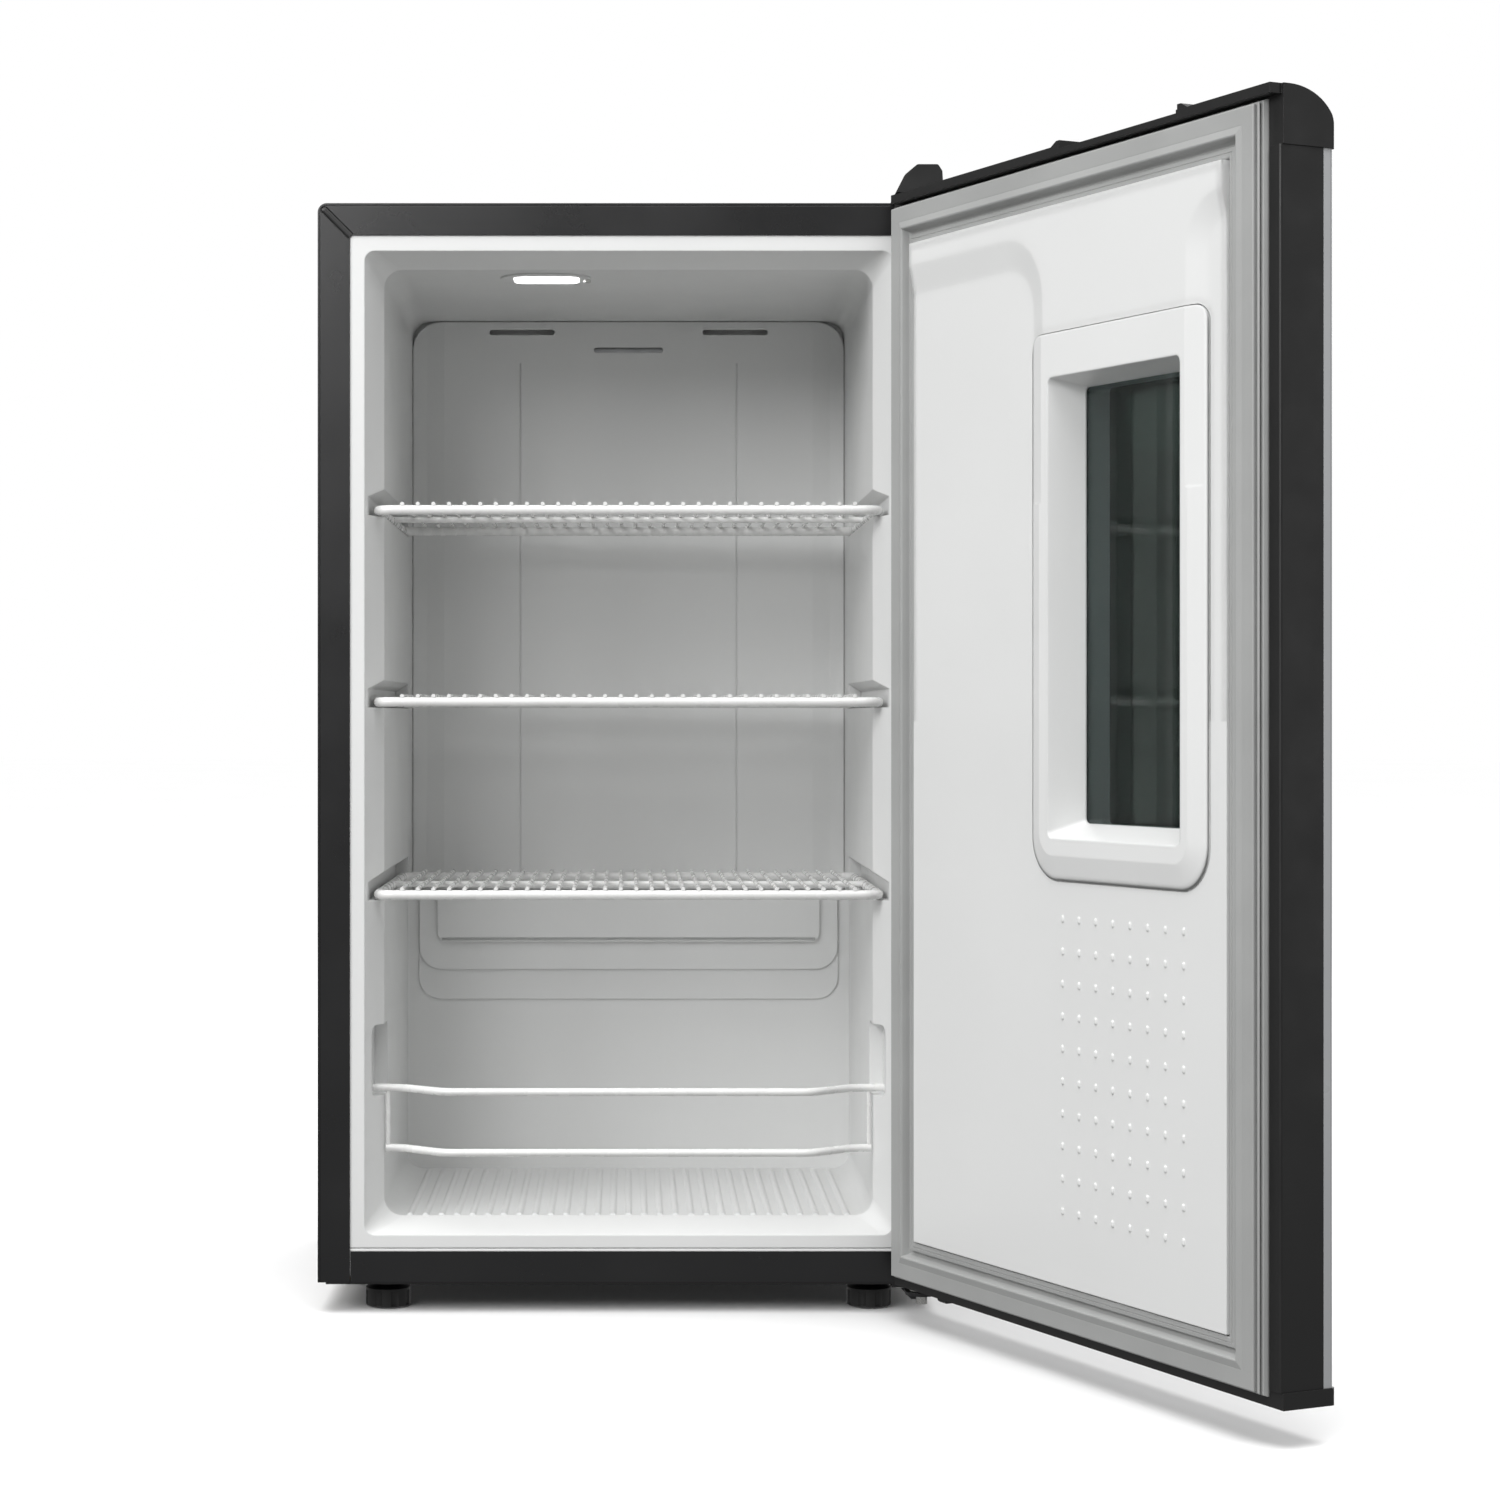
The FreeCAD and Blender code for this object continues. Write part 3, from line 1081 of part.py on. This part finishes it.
def door_gasket():
    """Magnetic gasket: a retained foot, a waist and the face lip with its inner step."""
    step = GASKET_WIDTH - 11.0
    face = gasket_section_ring(GASKET_LIP, 13.5, GASKET_FACE, 5.6)
    waist = gasket_section_ring(GASKET_LIP + 1, 18.5, 5.4, 9.0)
    inner_step = gasket_section_ring(step, 11.0, GASKET_FACE + 3, 8.5)
    foot = gasket_section_ring(0.5, GASKET_WIDTH - 0.5, 8.0, DOOR_BACK)
    magnet_room = gasket_section_ring(GASKET_LIP + 1.2, 9.4, 2.1, 4.7)
    return fuse([face, waist, inner_step, foot]).cut(magnet_room)


def gasket_magnet():
    """Flat magnet inside the face lip."""
    return gasket_section_ring(GASKET_LIP + 1.3, 9.2, 2.2, 4.6)


# ---- shared fasteners ---------------------------------------------------------------------
def pan_head_screws():
    """Identical screws of both hinges and of the condenser's brackets."""
    top = [screw(x, d, CABINET_TOP + 2.5, UP, length=9.0) for x, d in TOP_SCREWS]
    bottom = [screw(x, d, CABINET_BOTTOM - 4.0, UP * -1, length=9.0) for x, d in BOTTOM_SCREWS]
    rear = [screw(x, 398.5, z, BACKWARD, length=9.0) for x, z in BRACKET_POINTS]
    return top + bottom + rear


# ---- build --------------------------------------------------------------------------------
CAVITY_INNER = cavity(0.0)
CAVITY_OUTER = cavity(LINER)

export("wrapper", wrapper())
export("corner_caps", *corner_caps())
export("front_rail", front_rail())
export("base_plate", base_plate())
export("compressor_tray", compressor_tray())
export("rear_panel", rear_panel())
export("compartment_panel", compartment_panel())
export("inner_liner", inner_liner())
export("cabinet_insulation", cabinet_insulation())
export("evaporator_cover", evaporator_cover())
export("hump_cover", hump_cover())
export("evaporator_plate", evaporator_plate())
export("lamp_housing", lamp_housing())
export("lamp_lens", lamp_lens())
export("led_board", led_board())
export("lamp_screw", screw(*LAMP_SCREW, CAVITY_CEILING - 1.4, UP * -1, 1.5, 2.8, 8.0))
for node, height in zip(("shelf_bottom", "shelf_middle", "shelf_top"), SHELF_HEIGHTS):
    export(node, wire_shelf(height))
export("bottle_guard", bottle_guard())
export("front_foot_left", levelling_foot(-FOOT_X))
export("front_foot_right", levelling_foot(FOOT_X))
export("foot_nuts", *foot_nuts())
export("rear_feet", *rear_feet())
export("top_hinge_bracket", top_hinge_bracket())
export("top_hinge_pin", top_hinge_pin())
export("hinge_cover", hinge_cover())
export("bottom_hinge_bracket", bottom_hinge_bracket())
export("bottom_hinge_pin", bottom_hinge_pin())
export("pan_head_screws", *pan_head_screws())
export("compressor", compressor())
export("compressor_grommets", *compressor_grommets())
export("compressor_bolts", *compressor_bolts())
export("relay_cover", relay_cover())
export("condenser", condenser())
export("condenser_brackets", *condenser_brackets())
export("suction_line", suction_line())
export("discharge_line", discharge_line())
export("filter_drier", filter_drier())
export("capillary_tube", capillary_tube())
export("drain_tube", drain_tube())
export("drip_tray", drip_tray())
export("thermostat", thermostat())
export("thermostat_knob", thermostat_knob())
export("power_inlet", power_inlet().fuse(inlet_plate()).removeSplitter())
export("door_skin", opened(front_skin()))
export("door_side_trims", *[opened(trim) for trim in side_trims()])
export("door_top_cap", opened(top_cap()))
export("door_bottom_cap", opened(bottom_cap()))
export("hinge_bushes", *[opened(bush) for bush in hinge_bushes()])
export("door_liner", opened(door_liner()))
export("door_insulation", opened(door_insulation()))
export("door_gasket", opened(door_gasket()))
export("gasket_magnet", opened(gasket_magnet()))
export("window_frame", opened(window_frame()))
export("inner_glass", opened(inner_glass()))
export("glass_spacer", opened(glass_spacer()))
export("outer_glass", opened(outer_glass()))
export("window_bezel", opened(window_bezel()))
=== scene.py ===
import json
import math

import bmesh
import bpy
from mathutils import Matrix, Vector


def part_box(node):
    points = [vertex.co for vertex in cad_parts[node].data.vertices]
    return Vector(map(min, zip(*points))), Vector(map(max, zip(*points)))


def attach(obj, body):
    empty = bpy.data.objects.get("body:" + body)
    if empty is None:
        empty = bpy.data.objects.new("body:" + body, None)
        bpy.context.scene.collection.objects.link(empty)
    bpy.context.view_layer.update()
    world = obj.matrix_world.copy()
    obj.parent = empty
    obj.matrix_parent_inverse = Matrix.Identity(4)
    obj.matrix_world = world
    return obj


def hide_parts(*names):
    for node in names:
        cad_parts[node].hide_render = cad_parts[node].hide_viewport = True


# Looks of the mini fridge: materials, the extruded door gasket, light and camera, in metres.

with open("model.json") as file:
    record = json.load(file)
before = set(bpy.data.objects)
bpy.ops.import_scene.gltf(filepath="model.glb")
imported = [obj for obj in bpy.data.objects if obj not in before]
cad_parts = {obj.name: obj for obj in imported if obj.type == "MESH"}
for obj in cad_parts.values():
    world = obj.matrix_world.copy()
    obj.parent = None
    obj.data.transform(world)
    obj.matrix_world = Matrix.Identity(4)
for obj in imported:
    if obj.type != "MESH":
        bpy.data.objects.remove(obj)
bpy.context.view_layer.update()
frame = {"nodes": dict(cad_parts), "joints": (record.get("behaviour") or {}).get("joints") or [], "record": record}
MM = 0.001

# ---- places read from the frame -----------------------------------------------------------
WRAPPER_LOW, WRAPPER_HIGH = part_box("wrapper")
FRONT = WRAPPER_LOW.y
HINGE = next(j for j in frame["joints"] if j["name"] == "door_hinge")
HINGE_LINE = Vector(HINGE["pos_m"])
OPEN_ANGLE = -HINGE["range_deg"][0]
OPEN_DOOR = (
    Matrix.Translation(HINGE_LINE)
    @ Matrix.Rotation(math.radians(OPEN_ANGLE), 4, "Z")
    @ Matrix.Translation(-HINGE_LINE)
)


def shut_box(node):
    """A door node's lowest and highest corners with the door turned shut."""
    back = OPEN_DOOR.inverted()
    points = [back @ v.co for v in frame["nodes"][node].data.vertices]
    low = Vector([min(p[i] for p in points) for i in range(3)])
    high = Vector([max(p[i] for p in points) for i in range(3)])
    return low, high


# ---- mesh helpers -------------------------------------------------------------------------
def mesh_object(name, verts, faces):
    """A flat-shaded object whose normals point outwards."""
    mesh = bpy.data.meshes.new(name)
    mesh.from_pydata([tuple(v) for v in verts], [], faces)
    mesh.update()
    work = bmesh.new()
    work.from_mesh(mesh)
    bmesh.ops.remove_doubles(work, verts=work.verts, dist=1e-6)
    bmesh.ops.recalc_face_normals(work, faces=work.faces)
    work.to_mesh(mesh)
    work.free()
    for polygon in mesh.polygons:
        polygon.use_smooth = False
    thing = bpy.data.objects.new(name, mesh)
    bpy.context.scene.collection.objects.link(thing)
    return thing


def on_door(thing):
    """Turns a piece that was made on the shut door to the rest pose, and lets it ride there."""
    thing.data.transform(OPEN_DOOR)
    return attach(thing, "door")


def framed(name, low, high, profile):
    """A mitred ring swept round an XZ rectangle: profile points are (inset, y)."""
    verts, faces = [], []
    for inset, y in profile:
        for x, z in ((low.x + inset, low.z + inset), (high.x - inset, low.z + inset),
                     (high.x - inset, high.z - inset), (low.x + inset, high.z - inset)):
            verts.append(Vector((x, y, z)))
    count = len(profile)
    for row in range(count):
        for i in range(4):
            a, b = row * 4 + i, row * 4 + (i + 1) % 4
            c, d = ((row + 1) % count) * 4 + (i + 1) % 4, ((row + 1) % count) * 4 + i
            faces.append([a, b, c, d])
    return mesh_object(name, verts, faces)


# ---- materials ----------------------------------------------------------------------------
NOISE_MIDDLE = 0.3, 0.7  # the range that most of a noise stays in
LINER_WHITE = (0.76, 0.765, 0.76)
DOOR_FOLD_RADIUS = 8 * MM
DOOR_FOLD_START = 0.45  # the door liner's flanks are softly folded above this height
VECTOR_A, VECTOR_B, VECTOR_RESULT = 4, 5, 1  # a mix node's sockets for vectors


class Surface:
    """A Principled material whose colour, roughness and relief come from procedural noise."""

    def __init__(self, name, color, roughness, metallic=0.0, **sockets):
        self.material = bpy.data.materials.new(name)
        self.material.use_nodes = True
        self.tree = self.material.node_tree
        self.shader = self.tree.nodes["Principled BSDF"]
        self.color, self.roughness = color, roughness
        self.relief = None
        self.set("Base Color", (*color, 1.0))
        self.set("Roughness", roughness)
        self.set("Metallic", metallic)
        for socket, value in sockets.items():
            self.set(socket.replace("_", " "), value)
        self.place = self.node("ShaderNodeTexCoord").outputs["Object"]

    def set(self, socket, value):
        self.shader.inputs[socket].default_value = value

    def node(self, kind, **settings):
        made = self.tree.nodes.new(kind)
        for key, value in settings.items():
            setattr(made, key, value)
        return made

    def link(self, output, target):
        self.tree.links.new(output, target)

    def noise(self, size, detail=3.0, stretch=(1, 1, 1)):
        """Noise whose features are about size metres across."""
        mapping = self.node("ShaderNodeMapping")
        mapping.inputs["Scale"].default_value = [s / size for s in stretch]
        texture = self.node("ShaderNodeTexNoise")
        texture.inputs["Scale"].default_value = 1.0
        texture.inputs["Detail"].default_value = detail
        self.link(self.place, mapping.inputs["Vector"])
        self.link(mapping.outputs["Vector"], texture.inputs["Vector"])
        return texture.outputs["Fac"]

    def spread(self, value, low, high):
        """Value remapped from the middle of a noise to low..high."""
        ramp = self.node("ShaderNodeMapRange", clamp=True)
        ramp.inputs["From Min"].default_value, ramp.inputs["From Max"].default_value = NOISE_MIDDLE
        ramp.inputs["To Min"].default_value = low
        ramp.inputs["To Max"].default_value = high
        self.link(value, ramp.inputs["Value"])
        return ramp.outputs["Result"]

    def shade(self, value, darker, lighter):
        """Colour that wanders between a darker and a lighter multiple of its own."""
        mix = self.node("ShaderNodeMix", data_type="RGBA", clamp_factor=True)
        mix.inputs["A"].default_value = (*[c * darker for c in self.color], 1.0)
        mix.inputs["B"].default_value = (*[min(1.0, c * lighter) for c in self.color], 1.0)
        self.link(self.spread(value, 0.0, 1.0), mix.inputs["Factor"])
        self.link(mix.outputs["Result"], self.shader.inputs["Base Color"])
        return self

    def gloss(self, value, swing):
        """Roughness that wanders by swing about its middle."""
        out = self.spread(value, self.roughness - swing, self.roughness + swing)
        self.link(out, self.shader.inputs["Roughness"])
        return self

    def bump(self, value, depth):
        """Relief of depth metres, added to the relief that is there already."""
        bump = self.node("ShaderNodeBump")
        bump.inputs["Distance"].default_value = depth
        self.link(value, bump.inputs["Height"])
        if self.relief is not None:
            self.link(self.relief, bump.inputs["Normal"])
        self.relief = bump.outputs["Normal"]
        self.link(self.relief, self.shader.inputs["Normal"])
        return self

    def soft_edges(self, radius):
        """Rounds the look of sharp edges by radius metres."""
        bevel = self.node("ShaderNodeBevel", samples=6)
        bevel.inputs["Radius"].default_value = radius
        self.relief = bevel.outputs["Normal"]
        self.link(self.relief, self.shader.inputs["Normal"])
        return self

    def soft_folds(self, radius, height):
        """Rounds everything above a height by a larger radius than what is below it."""
        fine = self.relief
        self.soft_edges(radius)
        split = self.node("ShaderNodeSeparateXYZ")
        self.link(self.place, split.inputs["Vector"])
        above = self.node("ShaderNodeMath", operation="GREATER_THAN")
        above.inputs[1].default_value = height
        self.link(split.outputs["Z"], above.inputs[0])
        mix = self.node("ShaderNodeMix", data_type="VECTOR")
        self.link(above.outputs["Value"], mix.inputs["Factor"])
        self.link(fine, mix.inputs[VECTOR_A])
        self.link(self.relief, mix.inputs[VECTOR_B])
        self.relief = mix.outputs[VECTOR_RESULT]
        self.link(self.relief, self.shader.inputs["Normal"])
        return self


def painted_sheet(name, color, roughness):
    """Powder-coated steel: orange peel, faint handling marks and uneven gloss."""
    s = Surface(name, color, roughness, Coat_Weight=0.25, Coat_Roughness=0.2)
    s.soft_edges(0.6 * MM)
    s.shade(s.noise(0.35), 0.92, 1.1)
    s.gloss(s.noise(0.06, 5.0), 0.05)
    s.bump(s.noise(1.2 * MM, 2.0), 0.02 * MM)
    return s.material


def moulded_plastic(name, color, roughness, grain, depth, edge=0.4 * MM):
    """Moulded plastic with a spark-eroded grain."""
    s = Surface(name, color, roughness)
    s.soft_edges(edge)
    s.shade(s.noise(0.12), 0.95, 1.05)
    s.gloss(s.noise(0.03, 4.0), 0.06)
    s.bump(s.noise(grain, 2.0), depth)
    return s.material


def formed_liner(name, color, edge=1.5 * MM, fold=None):
    """Thermoformed white sheet: satin and slightly wavy; fold is (radius, lowest height)."""
    s = Surface(name, color, 0.36, Coat_Weight=0.15, Coat_Roughness=0.3)
    s.soft_edges(edge)
    if fold:
        s.soft_folds(*fold)
    s.shade(s.noise(0.25, 2.0), 0.975, 1.015)
    s.gloss(s.noise(0.05, 4.0), 0.05)
    s.bump(s.noise(0.04, 1.0), 0.05 * MM)
    s.bump(s.noise(1.5 * MM, 2.0), 0.008 * MM)
    return s.material


def drawn_metal(name, color, roughness, stretch):
    """Bare metal with drawing lines along one way."""
    s = Surface(name, color, roughness, metallic=1.0)
    s.soft_edges(0.3 * MM)
    s.shade(s.noise(0.02, 4.0), 0.85, 1.08)
    s.gloss(s.noise(0.4 * MM, 4.0, stretch), 0.08)
    s.bump(s.noise(0.3 * MM, 2.0, stretch), 0.01 * MM)
    return s.material


def coated_wire(name, color):
    """Dipped plastic coating: thick and glossy, with small runs."""
    s = Surface(name, color, 0.28, Coat_Weight=0.35, Coat_Roughness=0.12)
    s.shade(s.noise(0.05), 0.96, 1.02)
    s.gloss(s.noise(0.012, 4.0), 0.06)
    s.bump(s.noise(5 * MM, 2.0), 0.06 * MM)
    return s.material


def soft_seal(name, color):
    """Extruded soft seal: matte, faint draw lines and dusty patches."""
    s = Surface(name, color, 0.5, Sheen_Weight=0.08)
    s.shade(s.noise(0.08, 4.0), 0.94, 1.05)
    s.gloss(s.noise(0.02, 4.0), 0.08)
    s.bump(s.noise(0.8 * MM, 2.0), 0.02 * MM)
    return s.material


def rigid_foam(name, color):
    """Cut polyurethane foam: matte and coarsely pitted."""
    s = Surface(name, color, 0.9)
    s.shade(s.noise(0.004, 5.0), 0.8, 1.1)
    s.gloss(s.noise(0.01), 0.05)
    s.bump(s.noise(1.0 * MM, 4.0), 0.3 * MM)
    return s.material


def pane(name, color, roughness, body, ior):
    """Glass, clear or with a share of opaque body, faintly wavy and hazy."""
    s = Surface(name, color, roughness, Transmission_Weight=1.0 - body, IOR=ior)
    s.gloss(s.noise(0.03, 3.0), roughness / 2)
    s.bump(s.noise(0.05, 1.0), 0.01 * MM)
    return s.material


def lit_lens(name, color, strength):
    """Frosted lens with the lamp on behind it."""
    s = Surface(name, color, 0.3, Emission_Color=(*color, 1.0), Emission_Strength=strength)
    s.shade(s.noise(0.01), 0.95, 1.0)
    s.bump(s.noise(1.0 * MM, 1.0), 0.03 * MM)
    return s.material


SLOTS = {
    "black_steel": painted_sheet("black_powder_coat", (0.0075, 0.0075, 0.008), 0.3),
    "grey_steel": painted_sheet("grey_powder_coat", (0.2, 0.2, 0.21), 0.45),
    "silver_steel": painted_sheet("silver_paint", (0.42, 0.43, 0.44), 0.32),
    "white_plastic": formed_liner("white_liner", LINER_WHITE),
    "black_plastic": moulded_plastic(
        "black_moulding", (0.009, 0.009, 0.009), 0.42, 0.5 * MM, 0.02 * MM),
    "grey_plastic": moulded_plastic(
        "grey_moulding", (0.45, 0.46, 0.46), 0.5, 0.6 * MM, 0.02 * MM),
    "bearing_plastic": moulded_plastic(
        "bearing_moulding", (0.7, 0.7, 0.66), 0.4, 0.6 * MM, 0.01 * MM),
    "foam": rigid_foam("insulation_foam", (0.75, 0.6, 0.32)),
    "lamp_lens": lit_lens("lit_lens", (1.0, 1.0, 1.0), 3.0),
    "board": moulded_plastic("lamp_board", (0.03, 0.14, 0.06), 0.35, 0.4 * MM, 0.01 * MM),
    "aluminium": drawn_metal("rolled_aluminium", (0.62, 0.63, 0.64), 0.34, (1, 1, 12)),
    "steel": drawn_metal("zinc_plated_steel", (0.62, 0.62, 0.6), 0.3, (1, 1, 10)),
    "copper": drawn_metal("drawn_copper", (0.72, 0.38, 0.24), 0.32, (6, 6, 1)),
    "rubber": moulded_plastic("mount_rubber", (0.02, 0.02, 0.02), 0.75, 0.8 * MM, 0.04 * MM),
    "gasket": soft_seal("seal_grey", (0.36, 0.365, 0.36)),
    "magnet": moulded_plastic("bonded_magnet", (0.03, 0.03, 0.03), 0.7, 0.5 * MM, 0.02 * MM),
    "white_wire": coated_wire("white_coating", (0.82, 0.82, 0.81)),
    "glass": pane("inner_pane", (0.8, 0.87, 0.84), 0.015, 0.0, 1.22),
}
NODE_LOOKS = {
    "outer_glass": pane("smoked_pane", (0.012, 0.018, 0.016), 0.012, 0.5, 1.42),
    "glass_spacer": moulded_plastic(
        "spacer_grey", (0.1, 0.115, 0.12), 0.45, 0.6 * MM, 0.01 * MM),
    "door_liner": formed_liner(
        "door_liner_white", LINER_WHITE, 1.0 * MM, (DOOR_FOLD_RADIUS, DOOR_FOLD_START)),
    "window_frame": formed_liner("window_frame_white", (0.77, 0.775, 0.77), 2.0 * MM),
}


def dress(thing, material):
    """Gives a piece one material."""
    thing.data.materials.clear()
    thing.data.materials.append(material)


for part in frame["record"]["subparts"]:
    node = part["node"]
    dress(frame["nodes"][node], NODE_LOOKS.get(node, SLOTS[part["material_slot"]]))


# ---- door gasket --------------------------------------------------------------------------
GASKET_ROUNDING = 0.25 * MM
# (inset, height) in millimetres from the outer foot: bellows, lip, ridge, channel and bead
GASKET_SECTION = [
    (0.0, 0.0), (0.0, 1.2), (0.8, 3.6), (2.6, 4.0), (4.4, 4.2), (4.4, 5.0), (2.4, 5.3),
    (1.7, 5.8), (1.7, 6.3), (2.4, 6.7), (4.3, 6.9), (4.3, 7.3), (3.5, 7.5), (3.2, 8.4),
    (3.2, 9.5), (3.8, 10.1), (14.2, 10.1), (14.5, 10.0), (19.2, 11.2), (20.0, 11.0),
    (20.6, 10.0), (22.0, 5.6), (23.4, 3.6), (24.6, 3.2), (25.2, 3.4), (25.5, 6.4),
    (26.0, 7.0), (28.3, 7.2), (28.5, 6.7), (28.8, 6.7), (29.0, 7.2), (31.2, 7.0),
    (31.9, 6.4), (32.2, 5.4), (32.2, 0.0),
]


def gasket():
    """The extruded seal round the door, in place of the CAD's plain ring."""
    low, high = shut_box("door_gasket")
    profile = [(inset * MM, low.y + height * MM) for inset, height in GASKET_SECTION]
    ring = framed("gasket_extrusion", low, high, profile)
    bevel = ring.modifiers.new("soften", "BEVEL")
    bevel.width = GASKET_ROUNDING
    bevel.segments = 2
    bevel.limit_method = "ANGLE"
    dress(ring, SLOTS["gasket"])
    on_door(ring)
    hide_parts("door_gasket")


gasket()


# ---- camera, light and floor --------------------------------------------------------------
CAMERA_DISTANCE = 2.3535  # from the cabinet's front
CAMERA_HEIGHT = 0.4525
CAMERA_SHIFT = 0.081, -0.0217  # the view is level and square, and shifted to the object
LENS, SENSOR = 74.4, 36.0
SURROUNDINGS = 0.29  # how strongly the white surroundings light the object
AIM = (0.1, FRONT, 0.45)
SOFTBOXES = [  # name, place, target, size and power
    ("key", (-2.2, FRONT - 2.0, 1.9), AIM, (1.6, 1.6), 53),
    ("top", (0.2, FRONT - 1.6, 2.6), AIM, (2.0, 1.2), 22),
    ("glow", (-1.1, FRONT - 3.1, 1.85), (-0.2, FRONT, 0.6), (1.0, 1.2), 28),
    ("rim", (2.4, FRONT - 1.35, 0.7), (0.44, FRONT - 0.43, 0.45), (0.3, 1.6), 2.5),
    ("back", (1.6, 2.8, 1.8), (0, 0, 0.4), (1.8, 1.8), 30),
]
OVERHEAD_POWER, OVERHEAD_SPREAD = 2.75, 60
FLOOR_SIZE = 60.0


def camera():
    """Level camera, looking square at the cabinet's front."""
    data = bpy.data.cameras.new("camera")
    data.lens = LENS
    data.sensor_width = SENSOR
    data.shift_x, data.shift_y = CAMERA_SHIFT
    thing = bpy.data.objects.new("camera", data)
    thing.location = (0, FRONT - CAMERA_DISTANCE, CAMERA_HEIGHT)
    thing.rotation_euler = (math.radians(90), 0, 0)
    bpy.context.scene.collection.objects.link(thing)
    bpy.context.scene.camera = thing


def softbox(name, place, target, size, power):
    """Rectangular light at place, aimed at target."""
    data = bpy.data.lights.new(name, "AREA")
    data.shape = "RECTANGLE"
    data.size, data.size_y = size
    data.energy = power
    thing = bpy.data.objects.new(name, data)
    thing.location = place
    aim = Vector(target) - Vector(place)
    thing.rotation_euler = aim.to_track_quat("-Z", "Y").to_euler()
    bpy.context.scene.collection.objects.link(thing)


def overhead(power, spread):
    """A very soft light from straight above, so the floor is evenly lit as far as it is seen."""
    data = bpy.data.lights.new("overhead", "SUN")
    data.energy = power
    data.angle = math.radians(spread)
    bpy.context.scene.collection.objects.link(bpy.data.objects.new("overhead", data))


def studio():
    """White surroundings, which light the object only a little."""
    world = bpy.data.worlds.new("studio")
    bpy.context.scene.world = world
    world.use_nodes = True
    nodes, links = world.node_tree.nodes, world.node_tree.links
    seen = nodes["Background"]
    seen.inputs["Strength"].default_value = 1.0
    seen.inputs["Color"].default_value = (1.0, 1.0, 1.0, 1.0)
    felt = nodes.new("ShaderNodeBackground")
    felt.inputs["Color"].default_value = (1.0, 1.0, 1.0, 1.0)
    felt.inputs["Strength"].default_value = SURROUNDINGS
    mix = nodes.new("ShaderNodeMixShader")
    links.new(nodes.new("ShaderNodeLightPath").outputs["Is Camera Ray"], mix.inputs["Fac"])
    links.new(felt.outputs["Background"], mix.inputs[1])
    links.new(seen.outputs["Background"], mix.inputs[2])
    links.new(mix.outputs["Shader"], nodes["World Output"].inputs["Surface"])
    bpy.context.scene.view_settings.view_transform = "Standard"
    for box in SOFTBOXES:
        softbox(*box)
    overhead(OVERHEAD_POWER, OVERHEAD_SPREAD)


def floor():
    """Pale ground, which the object neither mirrors nor takes light from."""
    bpy.ops.mesh.primitive_plane_add(size=FLOOR_SIZE, location=(0, 0, 0))
    plane = bpy.context.object
    plane.name = "floor"
    plane.visible_diffuse = False
    plane.visible_glossy = False
    s = Surface("pale_floor", (0.92, 0.92, 0.92), 0.7)
    s.shade(s.noise(0.8), 0.99, 1.0)
    s.gloss(s.noise(0.3), 0.04)
    dress(plane, s.material)


camera()
studio()
floor()
